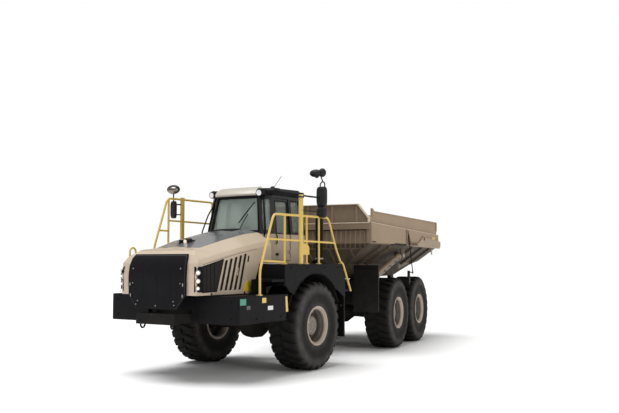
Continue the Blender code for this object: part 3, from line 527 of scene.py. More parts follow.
def rim(where, body, label, at, side):
    b = Build("wheel_rim_" + label, where)
    s = side
    out = lambda pts: [(r, s * y) for r, y in pts]
    steel = [(0.0, 0.060), (0.205, 0.060), (0.215, 0.078), (0.236, 0.088), (0.246, 0.100), (0.254, 0.140), (0.262, 0.170), (0.276, 0.186), (0.288, 0.198), (0.296, 0.222), (0.302, 0.248), (0.312, 0.262), (0.322, 0.270), (0.330, 0.278), (0.346, 0.2895), (0.354, 0.2905), (0.3605, 0.286), (0.3615, 0.270), (0.3615, -0.270), (0.3605, -0.286), (0.350, -0.288), (0.318, -0.280), (0.309, -0.262), (0.300, -0.230), (0.290, -0.060), (0.16, -0.02), (0.0, -0.02)]
    ring_surface(b, out(steel), RIM_PAINT, 72, closed=False)
    # the lock ring that holds the bead
    ring_surface(b, out([(0.322, 0.268), (0.328, 0.2835), (0.338, 0.2875), (0.345, 0.280), (0.342, 0.266)]), RIM_PAINT, 72)
    hub = [(0.0, 0.1760), (0.046, 0.1760), (0.052, 0.1735), (0.054, 0.168), (0.120, 0.166), (0.150, 0.163), (0.168, 0.156), (0.174, 0.146), (0.176, 0.090), (0.182, 0.082), (0.200, 0.078), (0.202, 0.060)]
    ring_surface(b, out(hub), HUB, 60, closed=False)
    spin = lambda r, a: (r * math.cos(a), r * math.sin(a))
    for i in range(16):
        x, z = spin(0.225, 2 * math.pi * i / 16)
        b.bolt((x, s * 0.080, z), (0, s, 0), 0.0115, RIM_PAINT)
    for i in range(14):
        x, z = spin(0.152, 2 * math.pi * (i + 0.5) / 14)
        b.bolt((x, s * 0.160, z), (0, s, 0), 0.0090, HUB)
    for i in range(8):
        x, z = spin(0.078, 2 * math.pi * i / 8)
        b.bolt((x, s * 0.165, z), (0, s, 0), 0.0075, HUB)
    for i in range(2):
        x, z = spin(0.115, math.pi * i + 0.6)
        b.bolt((x, s * 0.164, z), (0, s, 0), 0.0110, STEEL)
    for i in range(3):
        a = 2 * math.pi * i / 3 + 0.3
        x, z = spin(0.335, a)
        b.box((x - 0.013, x + 0.013), sorted((s * 0.274, s * 0.2895)), (z - 0.010, z + 0.010), RIM_PAINT, 0.003)
    x, z = spin(0.290, 1.1)
    b.round((x, s * 0.19, z), (x * 1.0, s * 0.265, z * 1.0), [(0, 0.006), (0.05, 0.006), (0.052, 0.009), (0.072, 0.009)], STEEL, 10)
    return b.done(body, at, replaces=["rim_" + label], slot="champagne_paint", sharp=34)


def rim_paint():
    """Wheel paint: beige, with grey-brown dust towards the rim's edge, and near-black painted shade in the dish, varied
    by the dust noise.
    """
    m = Mat("wheel_paint_dusty_painted_dish_shade", 0.5, 0, 0.1)
    x, y, z = m.xyz()
    r = m.math("SQRT", m.math("ADD", m.math("MULTIPLY", x, x), m.math("MULTIPLY", z, z)))
    grime = m.ramp(m.noise(9, 8, 0.7), 0.36, 0.72)
    dish = m.ramp(r, 0.304, 0.294)
    fac = m.math("MULTIPLY", grime, 0.30)
    ring = m.mix(fac, (0.47, 0.385, 0.305), (0.155, 0.125, 0.098))
    # painted shade in the dish
    painted_dish_shade = m.mix(grime, (0.085, 0.068, 0.054), (0.040, 0.032, 0.026))
    m.colour(m.mix(dish, ring, painted_dish_shade))
    m.rough(m.ramp(fac, 0, 1, 0.42, 0.8))
    m.bump(m.noise(90, 5), 0.15, 0.002)
    return m.m


RIM_PAINT = rim_paint()
for label, x, where in (("front", 0.0, FRONT), ("mid", MID_X, REAR), ("rear", REAR_X, REAR)):
    for side, s in (("left", 1), ("right", -1)):
        at = (x, s * TRACK, AXLE_Z)
        tyre(where, f"wheel_{label}_{side}", f"{label}_{side}", at, s)
        rim(where, f"wheel_{label}_{side}", f"{label}_{side}", at, s)


# ---- the CAD parts that stay, with better materials -------------------------------------------
def split_paint(name, low_colour, high_colour, height, slope=0.0):
    """Beige below a line and satin black above it, both with drift, dust and fine peel."""
    m = Mat(name, 0.36, 0, 0.25)
    x, y, z = m.xyz()
    line = m.math("ADD", height, m.math("MULTIPLY", x, slope)) if slope else height
    upper = m.ramp(m.math("SUBTRACT", z, line), -0.002, 0.002)
    a = m.mix(m.noise(1.3, 3), tuple(c * 0.95 for c in low_colour), tuple(min(1, c * 1.04) for c in low_colour))
    grime = m.math("MULTIPLY", m.ramp(m.noise(2.4, 8, 0.65), 0.42, 0.75), 0.28)
    m.colour(m.mix(upper, m.mix(grime, a, DUST), high_colour))
    m.rough(m.ramp(m.noise(16, 5), 0.3, 0.7, 0.30, 0.44))
    m.bump(m.noise(260, 2), 0.08, 0.001)
    return m.m


def hood_paint():
    """Beige hood whose top, between the two upper creases, is a grey anti-glare panel."""
    m = Mat("hood_paint_two_tone", 0.30, 0, 0.45)
    x, y, z = m.xyz()
    across = m.math("ABSOLUTE", m.math("SUBTRACT", y, SY))
    half = m.ramp(x, SX + 2.20, SX + 1.69, 0.488, 0.552)
    top = m.ramp(m.math("SUBTRACT", half, across), -0.003, 0.003)
    top = m.math("MULTIPLY", top, m.ramp(m.math("SUBTRACT", SX + 2.24, x), -0.003, 0.003))
    top = m.math("MULTIPLY", top, m.ramp(z, 2.17, 2.175))
    base = m.mix(m.noise(1.2, 3), (0.525, 0.425, 0.318), (0.565, 0.46, 0.345))
    grey = m.mix(m.noise(2.0, 6, 0.6), (0.095, 0.095, 0.102), (0.175, 0.175, 0.182))
    grime = m.math("MULTIPLY", m.ramp(m.noise(2.2, 8, 0.65), 0.45, 0.8), 0.22)
    m.colour(m.mix(top, m.mix(grime, base, DUST), grey))
    m.rough(m.math("SUBTRACT", m.ramp(m.noise(18, 5), 0.3, 0.7, 0.28, 0.40), m.math("MULTIPLY", top, 0.12)))
    m.bump(m.noise(260, 2), 0.07, 0.001)
    return m.m


CAB_BEIGE, CAB_BLACK = (0.480, 0.385, 0.280), (0.0065, 0.0065, 0.0080)
CAB_PAINT = split_paint("cab_paint_two_tone", CAB_BEIGE, CAB_BLACK, 2.485)
DOOR_PAINT = split_paint("door_paint_two_tone", CAB_BEIGE, CAB_BLACK, 2.485)
BASE_PAINT = split_paint("cab_base_paint", CAB_BLACK, CAB_BEIGE, 1.905)

skin("hood", hood_paint(), bevel=0.012, angle=12)
skin("front_grille", BLACK, bevel=0.008, angle=20)
skin("front_bumper", BLACK, bevel=0.010)
skin("cab_shell", CAB_PAINT, bevel=0.008)
skin("cab_door", DOOR_PAINT, bevel=0.006)
skin("cab_base", BASE_PAINT, bevel=0.008)
skin("cab_roof", BLACK, bevel=0.016, angle=18)
for name in ("fender_left", "fender_right"):
    skin(name, BLACK, bevel=0.006)
for name in ("front_frame", "rear_frame", "hitch_yoke", "bogie_beam_left", "bogie_beam_right"):
    skin(name, CHASSIS, bevel=0.008)
for name in ("front_axle", "mid_axle", "rear_axle", "drive_shaft", "engine_block"):
    skin(name, AXLE_IRON, bevel=0.008)
skin("dump_body", BODY_PAINT, bevel=0.006)
skin("tailgate", BEIGE_BODY, bevel=0.005)
skin("dashboard", PLASTIC, bevel=0.012)
skin("exhaust_stack", BLACK, bevel=0.003)
skin("windscreen", WINDSCREEN, bevel=0)
for name in ("side_glass_left", "side_glass_right", "rear_glass", "door_glass"):
    skin(name, GLASS, bevel=0)
for side in ("left", "right"):
    skin("tailgate_link_" + side, BLACK, bevel=0.002)
    skin("hoist_barrel_" + side, BEIGE_BODY, bevel=0.003)
    skin("hoist_rod_" + side, CHROME, bevel=0.002)
    skin("steer_barrel_" + side, BLACK, bevel=0.002)
    skin("steer_rod_" + side, CHROME, bevel=0.002)


# ---- hood: side vents, lamps, nose panel -------------------------------------------------------
HOOD_HALF = [(0.68, 0.88), (1.117, 0.88), (1.69, 0.88), (2.20, 0.865), (2.56, 0.84), (2.80, 0.80)]
half_at = lambda x: lerp(HOOD_HALF, x)


def on_side(b, pts, s, lift, mat, bevel=0.0, sink=0.004):
    """A flat plate that follows the hood's side; pts are (x, z), and lift is how proud it stands."""
    made, out = b.loft([[(x, s * (half_at(x) + d), z) for x, z in pts] for d in (-sink, lift)], mat)
    if bevel:
        edges = list({e for f in out for e in f.edges if abs(e.verts[0].co.y) > half_at(e.verts[0].co.x) - sink / 2 and abs(e.verts[1].co.y) > half_at(e.verts[1].co.x) - sink / 2})
        bmesh.ops.bevel(b.bm, geom=edges, offset=bevel, segments=1, affect="EDGES", clamp_overlap=True, material=b.slot(mat))
    return out


def hood_details():
    for s, side in ((1, "left"), (-1, "right")):
        b = Build("hood_vents_" + side)
        quad = [(2.575, 1.888), (2.075, 2.008), (2.24, 1.49), (2.575, 1.48)]
        on_side(b, quad, s, 0.0085, MESH)
        # beaded rim round the mesh
        ring = quad + quad[:1]
        for p, q in zip(ring, ring[1:]):
            b.pipe([(p[0], s * (half_at(p[0]) + 0.001), p[1]), (q[0], s * (half_at(q[0]) + 0.001), q[1])], 0.011, BLACK, 8)
        # crossed bars that carry the mesh
        for t in (0.25, 0.5, 0.75):
            x = 2.575 - t * 0.36
            z0 = 1.482 + 0.01 * t
            z1 = 1.888 + (2.008 - 1.888) * (2.575 - x) / 0.5
            b.box((x - 0.004, x + 0.004), sorted((s * (half_at(x) - 0.002), s * (half_at(x) + 0.011))), (z0, z1 - 0.004), BLACK, 0.001)
        # slanted slots, each a thin dark rubber plate on the hood's side as painted shade for the opening, with a
        # pressed lip on its front edge
        for k in range(5):
            t = k / 4
            xt, zt = 1.993 + (1.481 - 1.993) * t, 1.991 + (2.103 - 1.991) * t
            xb, zb = 2.135 + (1.648 - 2.135) * t, 1.50
            w = 0.034
            slot = [(xt + w, zt), (xt - w * 0.55, zt + 0.012), (xt - w, zt), (xb - w, zb + 0.012), (xb - w * 0.6, zb), (xb + w, zb)]
            on_side(b, slot, s, 0.0012, SEAL)
            lip = [(xt + w + 0.010, zt), (xt + w - 0.002, zt), (xb + w - 0.002, zb), (xb + w + 0.010, zb)]
            on_side(b, lip, s, 0.006, BEIGE, 0.002)
            lip = [(xt - w + 0.002, zt), (xt - w - 0.006, zt), (xb - w - 0.006, zb), (xb - w + 0.002, zb)]
            on_side(b, lip, s, 0.003, BEIGE, 0.001)
        # a short slot, drawn the same way as painted shade
        short = [(1.405, 2.07), (1.375, 2.082), (1.365, 2.07), (1.385, 1.97), (1.41, 1.965), (1.425, 1.975)]
        on_side(b, short, s, 0.0012, SEAL)
        # panel joint along the shoulder crease and down the rear edge of the nose
        seam = [(2.565, 1.925), (2.20, 2.005), (1.69, 2.11), (1.14, 2.195)]
        for p, q in zip(seam, seam[1:]):
            on_side(b, [(p[0], p[1] + 0.003), (p[0], p[1] - 0.003), (q[0], q[1] - 0.003), (q[0], q[1] + 0.003)], s, 0.0006, SEAL)
        # two flush latches on the beige strip under the slots
        for x in (2.36, 1.50):
            b.round((x, s * (half_at(x) - 0.002), 1.445), (x, s * (half_at(x) + 0.006), 1.445), [(0, 0.022), (0.006, 0.022), (0.008, 0.018)], BLACK, 18)
            b.box((x - 0.003, x + 0.003), sorted((s * half_at(x), s * (half_at(x) + 0.008))), (1.430, 1.460), STEEL, 0.001)
        # blank warning plate, a triangle on a card
        x = 1.335
        on_side(b, [(1.545, 1.468), (1.500, 1.600), (1.430, 1.655), (1.318, 1.600), (1.337, 1.464)], s, 0.0030, LABEL_YELLOW)
        b.done("hood", slot="champagne_paint")

        b = Build("head_lamps_" + side)
        panel = [(2.600, 1.50), (2.600, 1.885), (2.560, 1.880), (2.560, 1.485)]
        on_side(b, panel, s, 0.006, BLACK, 0.004)
        rings = []
        for z, out in ((1.485, -0.006), (1.500, 0.0), (1.70, 0.0), (1.868, -0.002), (1.892, -0.020)):
            rings.append([(x + out * 0.6, s * (y + out * 0.8), z) for x, y in ((2.7035, 0.778), (2.690, 0.806), (2.646, 0.866), (2.625, 0.8725), (2.575, 0.862), (2.560, 0.835), (2.600, 0.790))])
        b.loft(rings, BLACK)
        d = Vector((0.870, s * 0.493, 0.0))
        for x, z, r in ((2.668, 1.796, 0.0380), (2.668, 1.664, 0.0360), (2.668, 1.548, 0.0290)):
            c = Vector((x, s * 0.834, z)) + d * 0.022
            b.round(c - d * 0.035, c + d * 0.010, [(0, r + 0.007), (0.040, r + 0.007), (0.045, r + 0.003), (0.045, r)], PLASTIC, 32)
            b.round(c - d * 0.03, c + d * 0.008, [(0, r), (0.036, r), (0.041, r * 0.86), (0.044, r * 0.6), (0.046, r * 0.25)], LAMP, 32)
            b.round(c - d * 0.03, c + d * 0.008, [(0, r + 0.003), (0.039, r + 0.003), (0.0425, r + 0.001), (0.043, r - 0.001)], CHROME, 32)
        b.done("hood", slot="black_paint")

    GX = [(1.20, 2.745), (1.24, 2.745), (1.428, 2.735), (1.70, 2.741), (1.78, 2.738), (1.90, 2.725), (2.03, 2.675), (2.10, 2.625)]
    GH = [(1.20, 0.44), (1.24, 0.47), (1.428, 0.62), (1.70, 0.625), (1.78, 0.625), (1.90, 0.62), (2.03, 0.60), (2.10, 0.57)]
    b = Build("nose_panel_fittings")

    def strip(inset, wide, lift, mat):
        """A band that runs up both sides of the nose panel and over its top."""
        zs = [1.215, 1.24, 1.33, 1.428, 1.56, 1.70, 1.78, 1.84, 1.90, 1.965, 2.03, 2.085]
        path = [(-(lerp(GH, z) - inset), z) for z in zs] + [(lerp(GH, z) - inset, z) for z in zs[::-1]]
        rings = []
        for i, (y, z) in enumerate(path):
            sgn = 1 if i >= len(zs) else -1
            x = lerp(GX, z)
            top = i in (len(zs) - 1, len(zs))
            inner = (y - sgn * wide, z - (wide if top else 0))
            xi = lerp(GX, inner[1])
            rings.append([(x - 0.003, y, z), (x + lift, y, z), (xi + lift, *inner), (xi - 0.003, *inner)])
        b.loft(rings, mat)

    strip(0.004, 0.016, 0.0045, PLASTIC)
    strip(0.040, 0.003, 0.0012, SEAL)
    for y, z in ((-0.44, 1.27), (0.40, 1.27), (0.0, 1.255), (-0.40, 1.33), (0.38, 1.33), (-0.52, 1.62), (0.52, 1.62), (-0.52, 1.86), (0.52, 1.86)):
        b.bolt((lerp(GX, z) - 0.004, y, z), (1, 0, 0), 0.011)
    for s in (1, -1):
        for z in (1.60, 1.42):
            y = s * (lerp(GH, z) - 0.045)
            x = lerp(GX, z)
            b.box((x - 0.004, x + 0.008), sorted((y - 0.022, y + 0.022)), (z - 0.032, z + 0.032), PLASTIC, 0.004)
            b.box((x + 0.004, x + 0.012), sorted((y - 0.008, y + 0.008)), (z - 0.024, z + 0.024), STEEL, 0.003)
    # pressed ribs that stiffen the panel
    for y in (-0.30, 0.0, 0.30):
        rings = []
        for z in (1.36, 1.43, 1.56, 1.70, 1.78, 1.84):
            x = lerp(GX, z)
            rings.append([(x - 0.003, y - 0.012, z), (x + 0.003, y - 0.006, z), (x + 0.003, y + 0.006, z), (x - 0.003, y + 0.012, z)])
        b.loft(rings, BLACK)
    b.done("hood", slot="black_paint")

    # camera housing on the hood's front
    b = Build("hood_camera")
    c = Vector((1.93, -0.04, 2.285))
    b.box((1.85, 1.99), (-0.13, 0.05), (2.225, 2.292), PLASTIC, 0.010)
    b.round(c + Vector((-0.10, 0, 0.055)), c + Vector((0.06, 0, 0.035)), [(0, 0.030), (0.01, 0.046), (0.13, 0.050), (0.155, 0.052), (0.160, 0.044)], PLASTIC, 24)
    # the lens takes the glowing lamp material: painted glow on a part that is no lamp
    b.round(c + Vector((0.02, 0, 0.040)), c + Vector((0.068, 0, 0.034)), [(0, 0.036), (0.04, 0.036), (0.048, 0.024)], LAMP, 24)
    b.box((1.80, 2.03), (-0.145, -0.128), (2.232, 2.352), PLASTIC, 0.005)
    b.box((1.80, 2.03), (0.048, 0.065), (2.232, 2.352), PLASTIC, 0.005)
    b.pipe([(1.86, -0.06, 2.29), (1.78, -0.06, 2.345), (1.66, -0.05, 2.38), (1.55, -0.05, 2.40)], 0.009, SEAL, 8)
    b.done("hood")
    # thin beads where the grey panel meets the beige one, and the cooling-air grille by the cab
    b = Build("hood_top_trim")
    line = [(2.235, 0.488), (2.20, 0.493), (1.69, 0.553), (1.117, 0.56), (0.74, 0.56)]
    b.pipe([(2.245, 0, 2.2185), (2.245, 0.3, 2.206)], 0.003, SEAL, 6)
    b.pipe([(2.245, 0, 2.2185), (2.245, -0.3, 2.206)], 0.003, SEAL, 6)
    for k in range(9):
        x = 0.80 + 0.028 * k
        z = lerp([(0.68, 2.60), (1.117, 2.53), (1.69, 2.40)], x) - 0.012
        b.box((x - 0.008, x + 0.008), (-0.24, 0.24), (z, z + 0.016), PLASTIC, 0.003)
    b.done("hood")


hood_details()


# ---- cab ---------------------------------------------------------------------------------------
def cab_details():
    b = Build("roof_visor_and_lamps")
    # beige visor over the windscreen
    rows = []
    for x, half, z in ((0.655, 0.480, 3.215), (0.662, 0.480, 3.235), (0.625, 0.470, 3.300), (0.520, 0.440, 3.362), (0.400, 0.420, 3.384)):
        rows.append((x, half, z))
    rings = []
    for k in range(13):
        t = -1 + 2 * k / 12
        bow = 0.030 * t * t
        outer = [(x - bow, t * h, z) for x, h, z in rows]
        inner = [(x - 0.022 - bow, t * h, z - 0.012) for x, h, z in rows[::-1]]
        rings.append(outer + inner)
    b.loft(rings, VISOR_PAINT)
    # work lamps at both ends
    for s in (1, -1):
        c = Vector((0.560, s * 0.520, 3.262))
        b.box((0.44, 0.585), sorted((s * 0.475, s * 0.615)), (3.212, 3.325), PLASTIC, 0.012)
        p, q = Vector((0.560, s * 0.548, 3.255)), Vector((0.640, s * 0.556, 3.245))
        b.round(p, q, [(0, 0.052), (0.030, 0.062), (0.070, 0.066), (0.084, 0.064), (0.084, 0.052)], PLASTIC, 32)
        b.round(p, q + (q - p) * 0.10, [(0, 0.050), (0.072, 0.050), (0.080, 0.040), (0.086, 0.020)], LAMP, 32)
        b.round(p, q, [(0, 0.054), (0.080, 0.054), (0.0855, 0.052), (0.086, 0.049)], CHROME, 32)
        b.box((0.50, 0.60), sorted((s * 0.530, s * 0.575)), (3.300, 3.330), PLASTIC, 0.006)
        # small side lamp on the roof's edge
        b.box((0.20, 0.33), sorted((s * 0.690, s * 0.735)), (3.300, 3.352), PLASTIC, 0.010)
    # rain channel round the roof, beacon and aerial
    b.pipe([(0.40, 0.728, 3.238), (-0.60, 0.738, 3.238)], 0.012, BLACK, 8)
    b.pipe([(0.40, -0.728, 3.238), (-0.60, -0.738, 3.238)], 0.012, BLACK, 8)
    b.round((-0.18, 0.30, 3.362), (-0.18, 0.30, 3.45), [(0, 0.07), (0.012, 0.07), (0.016, 0.052), (0.03, 0.050), (0.062, 0.044), (0.076, 0.030), (0.083, 0.012)], PLASTIC, 24)
    b.round((0.10, 0.52, 3.345), (0.10, 0.52, 3.40), [(0, 0.022), (0.02, 0.020), (0.035, 0.010), (0.05, 0.006)], PLASTIC, 14)
    b.pipe([(0.10, 0.52, 3.385), (-0.10, 0.56, 3.62)], 0.005, PLASTIC, 6)
    # pressed ribs on the roof panel
    for y in (-0.36, -0.18, 0.0, 0.18, 0.36):
        if abs(y) < 0.01:
            continue
        b.box((-0.50, 0.18), (y - 0.018, y + 0.018), (3.352, 3.372), BLACK, 0.006)
    b.done("front_section", slot="black_paint")

    # windscreen surround, wiper, pillars' bars, grab handles
    b = Build("windscreen_wiper_and_seals")
    face = lambda y, z: (0.655 - 0.112 * max(z - 2.5, 0) / 0.72 + 0.004, y, z)
    corners = [(-0.555, 2.545), (0.555, 2.545), (0.465, 3.165), (-0.465, 3.165)]
    for p, q in zip(corners, corners[1:] + corners[:1]):
        b.pipe([face(*p), face(*q)], 0.010, SEAL, 8)
    a = Vector(face(0.10, 2.50)) + Vector((0.015, 0, -0.01))
    tip = Vector(face(0.36, 2.96)) + Vector((0.022, 0, 0))
    b.round(a - Vector((0.02, 0, 0)), a + Vector((0.03, 0, 0)), [(0, 0.030), (0.03, 0.028), (0.04, 0.020), (0.05, 0.012)], PLASTIC, 16)
    b.pipe([a + Vector((0.02, 0, 0)), a.lerp(tip, 0.55) + Vector((0.02, 0, 0)), a.lerp(tip, 0.78) + Vector((0.008, 0, 0))], 0.009, PLASTIC, 8)
    blade0, blade1 = Vector(face(0.10, 2.70)) + Vector((0.012, 0, 0)), Vector(face(0.42, 3.08)) + Vector((0.012, 0, 0))
    b.pipe([blade0, blade1], 0.008, SEAL, 6)
    b.pipe([blade0 + Vector((0.012, 0, 0)), blade0.lerp(blade1, 0.5) + Vector((0.020, 0, 0)), blade1 + Vector((0.012, 0, 0))], 0.005, PLASTIC, 6)
    # black cowl under the glass, with louvres
    for k in range(6):
        z = 2.445 + 0.016 * k
        b.box((0.645, 0.672), (-0.50, 0.50), (z - 0.004, z + 0.004), PLASTIC, 0.002)
    # slim side bars from the cowl to the roof, one each side
    for s in (1, -1):
        b.pipe([(0.60, s * 0.665, 2.47), (0.58, s * 0.665, 2.60), (0.50, s * 0.560, 3.20)], 0.016, BLACK, 10)
        b.pipe([(0.70, s * 0.72, 2.42), (0.70, s * 0.74, 2.52), (0.615, s * 0.66, 2.86), (0.55, s * 0.60, 3.02)], 0.013, BLACK, 10)
    b.done("front_section", slot="black_paint")

    b = Build("cab_side_fittings")
    wall = lambda z: 0.775 - 0.075 * max(z - 2.5, 0) / 0.72
    for s in (1, -1):
        # rubber round the fixed side windows
        spans = ((-0.53, -0.16),) if s > 0 else ((-0.53, -0.16), (-0.06, 0.375))
        for x0, x1 in spans:
            pts = [(x0, 2.52), (x1, 2.52), (x1, 3.14), (x0, 3.14)]
            for p, q in zip(pts, pts[1:] + pts[:1]):
                b.pipe([(p[0], s * wall(p[1]), p[1]), (q[0], s * wall(q[1]), q[1])], 0.009, SEAL, 8)
        # beige panel joints and rivets under the windows
        for x in (-0.36,):
            b.box((x - 0.002, x + 0.002), sorted((s * 0.779, s * 0.7815)), (1.97, 2.47), SEAL, 0.0005)
        for i in range(8):
            x = -0.56 + 0.14 * i
            if s > 0 and -0.12 < x < 0.44:
                continue
            b.round((x, s * 0.775, 1.98), (x, s * 0.786, 1.98), [(0, 0.009), (0.006, 0.008), (0.009, 0.004)], STEEL, 10)
    # air intake louvres on the rear left corner of the beige panel
    for k in range(7):
        z = 2.08 + 0.035 * k
        b.box((-0.56, -0.40), (0.777, 0.790), (z - 0.006, z + 0.006), PLASTIC, 0.003)
    b.done("front_section", slot="champagne_paint")

    b = Build("door_handle_and_seals")
    # painted lower panel, which backs the glass below the waist
    b.box((-0.060, 0.385), (0.735, 0.7785), (2.170, 2.487), DOOR_PAINT, 0.006)
    dw = lambda z: 0.7755 - 0.075 * max(z - 2.5, 0) / 0.65
    pts = [(-0.05, 2.498), (0.375, 2.498), (0.34, 3.11), (-0.05, 3.11)]
    for p, q in zip(pts, pts[1:] + pts[:1]):
        b.pipe([(p[0], dw(p[1]), p[1]), (q[0], dw(q[1]), q[1])], 0.007, SEAL, 8)
    b.box((0.325, 0.405), (0.772, 0.790), (2.085, 2.135), PLASTIC, 0.006)
    b.pipe([(0.335, 0.783, 2.11), (0.345, 0.808, 2.11), (0.385, 0.808, 2.11), (0.395, 0.783, 2.11)], 0.008, PLASTIC, 8, 0.01)
    b.pipe([(0.398, dw(2.30), 2.30), (0.398, 0.806, 2.32), (0.398, 0.804, 2.46), (0.398, dw(2.48), 2.48)], 0.010, PLASTIC, 8, 0.02)
    b.done("door", slot="cab_plastic")


def cushion(name, where_box, crown, body, seams=(), tilt=0.0, at=(0, 0, 0), long_axis="z"):
    """A crowned cushion: a closed rounded form, pulled in between its corners, with sewn channels."""
    (x0, x1), (y0, y1), (z0, z1) = where_box
    n, m, k = 22, 22, 6
    centre = Vector(((x0 + x1) / 2, (y0 + y1) / 2, (z0 + z1) / 2))
    half = Vector(((x1 - x0) / 2, (y1 - y0) / 2, (z1 - z0) / 2))
    bm = bmesh.new()
    bmesh.ops.create_cube(bm, size=2.0)
    bmesh.ops.subdivide_edges(bm, edges=bm.edges[:], cuts=11, use_grid_fill=True)
    for v in bm.verts:
        c = v.co.copy()
        p = 5.0
        norm = (abs(c.x) ** p + abs(c.y) ** p + abs(c.z) ** p) ** (1 / p)
        c = c / max(norm, 1e-6) * (1.0 if norm else 0)
        pinch = 1 - 0.035 * (1 - c.y * c.y) * abs(c[2 if long_axis == "x" else 0])
        pos = Vector((c.x * half.x, c.y * half.y * pinch, c.z * half.z))
        thin = 0 if long_axis == "z" else 2
        other = 2 if long_axis == "z" else 0
        if c[thin] > 0.25:
            swell = crown * (1 - c.y ** 4) * (1 - abs(c[other]) ** 4)
            pos[thin] += swell - crown
            for seam in seams:
                u = c[other] if seam[0] == "cross" else abs(c.y)
                d = abs(u - seam[1])
                pos[thin] -= 0.012 * math.exp(-((d / 0.055) ** 2))
        v.co = pos
    bmesh.ops.transform(bm, matrix=Matrix.Translation(centre) @ Matrix.Rotation(tilt, 4, "Y"), verts=bm.verts)
    bmesh.ops.transform(bm, matrix=FRONT, verts=bm.verts)
    for f in bm.faces:
        f.smooth = True
    mesh = bpy.data.meshes.new(name)
    bm.to_mesh(mesh)
    bm.free()
    mesh.materials.append(CLOTH)
    obj = bpy.data.objects.new(name, mesh)
    COLLECTION.objects.link(obj)
    sub = obj.modifiers.new("smooth", "SUBSURF")
    sub.levels = sub.render_levels = 1
    return obj


def interior():
    base = cushion("seat_cushion", ((-0.42, -0.01), (-0.235, 0.235), (2.305, 2.425)), 0.018, "front_section", (("cross", -0.45), ("side", 0.62)), 0.0, long_axis="x")
    back = cushion("seat_back", ((-0.475, -0.345), (-0.215, 0.215), (2.36, 2.80)), 0.016, "front_section", (("cross", 0.2), ("cross", -0.35), ("side", 0.62)), math.radians(-7))
    head = cushion("seat_headrest", ((-0.500, -0.410), (-0.13, 0.13), (2.815, 2.965)), 0.008, "front_section", (), math.radians(-7))
    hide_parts("driver_seat")
    for obj, fill in ((base, 0.8), (back, 0.8), (head, 0.85)):
        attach(obj, "front_section")
    b = Build("seat_base_and_arms")
    b.box((-0.34, -0.04), (-0.15, 0.15), (1.992, 2.02), PLASTIC, 0.006)
    for k in range(5):
        z = 2.03 + 0.045 * k
        b.box((-0.31, -0.07), (-0.12, 0.12), (z, z + 0.032), SEAL, 0.014)
    b.box((-0.36, -0.04), (-0.17, 0.17), (2.262, 2.306), PLASTIC, 0.008)
    for s in (1, -1):
        b.pipe([(-0.40, s * 0.255, 2.40), (-0.40, s * 0.258, 2.545), (-0.34, s * 0.258, 2.560)], 0.013, PLASTIC, 8)
        b.box((-0.39, -0.13), sorted((s * 0.232, s * 0.285)), (2.555, 2.592), PLASTIC, 0.014)
    for s in (1, -1):
        b.pipe([(-0.440, s * 0.06, 2.78), (-0.448, s * 0.06, 2.84)], 0.006, CHROME, 8)
    b.done("front_section", slot="cab_plastic")

    b = Build("steering_wheel_rim")
    foot, up = Vector((0.20, 0, 2.665)), (Vector((0.12, 0, 2.78)) - Vector((0.20, 0, 2.665))).normalized()
    u = Vector((0, 1, 0))
    v = up.cross(u)
    n, k = 48, 10
    verts, faces = [], []
    for i in range(n):
        a = 2 * math.pi * i / n
        d = math.cos(a) * u + math.sin(a) * v
        for j in range(k):
            t = 2 * math.pi * j / k
            grip = 0.0125 + (0.0008 if i % 4 == 0 else 0)
            verts.append(foot + d * (0.2015 + grip * math.cos(t)) + up * (grip * 0.9 * math.sin(t)))
    for i in range(n):
        for j in range(k):
            faces.append([i * k + j, i * k + (j + 1) % k, ((i + 1) % n) * k + (j + 1) % k, ((i + 1) % n) * k + j])
    made, out = b.faces(verts, faces, PLASTIC, True)
    bmesh.ops.recalc_face_normals(b.bm, faces=out)
    for a in (0.0, math.pi, math.pi * 1.5):
        d = math.cos(a) * u + math.sin(a) * v
        b.pipe([foot + d * 0.035 - up * 0.012, foot + d * 0.12 - up * 0.006, foot + d * 0.197], 0.010, PLASTIC, 8)
    b.round(foot - up * 0.020, foot + up * 0.014, [(0, 0.045), (0.02, 0.052), (0.030, 0.046), (0.034, 0.030)], PLASTIC, 24)
    b.round((0.315, 0, 2.508), foot - up * 0.018, [(0, 0.030), (0.02, 0.026), (0.17, 0.022)], PLASTIC, 16)
    b.done("front_section", replaces=["steering_wheel"], slot="cab_plastic")

    b = Build("dashboard_screen_and_levers")
    b.box((0.335, 0.352), (-0.12, 0.12), (2.505, 2.575), PLASTIC, 0.006)
    b.box((0.330, 0.3365), (-0.105, 0.105), (2.512, 2.568), LENS_DARK, 0.002)
    b.pipe([(0.05, -0.48, 2.52), (0.045, -0.475, 2.60), (0.04, -0.47, 2.64)], 0.009, STEEL, 8)
    b.round((0.04, -0.47, 2.63), (0.035, -0.468, 2.70), [(0, 0.014), (0.02, 0.022), (0.05, 0.024), (0.068, 0.012)], PLASTIC, 14)
    b.box((-0.22, 0.02), (-0.60, -0.38), (2.521, 2.535), PLASTIC_GREY, 0.004)
    for i in range(4):
        b.box((-0.19 + 0.05 * i, -0.16 + 0.05 * i), (-0.57, -0.53), (2.534, 2.545), LABEL_WHITE if i == 1 else PLASTIC, 0.003)
    b.done("front_section", slot="cab_plastic")


# ---- handrails and mirrors ---------------------------------------------------------------------
def ball(b, c, r, mat, squash=(1, 1, 1), n=20, m=10):
    rings = []
    for k in range(1, m):
        t = math.pi * k / m
        rings.append([(c[0] + squash[0] * r * math.sin(t) * math.cos(2 * math.pi * i / n), c[1] + squash[1] * r * math.sin(t) * math.sin(2 * math.pi * i / n), c[2] - squash[2] * r * math.cos(t)) for i in range(n)])
    b.loft(rings, mat, True)


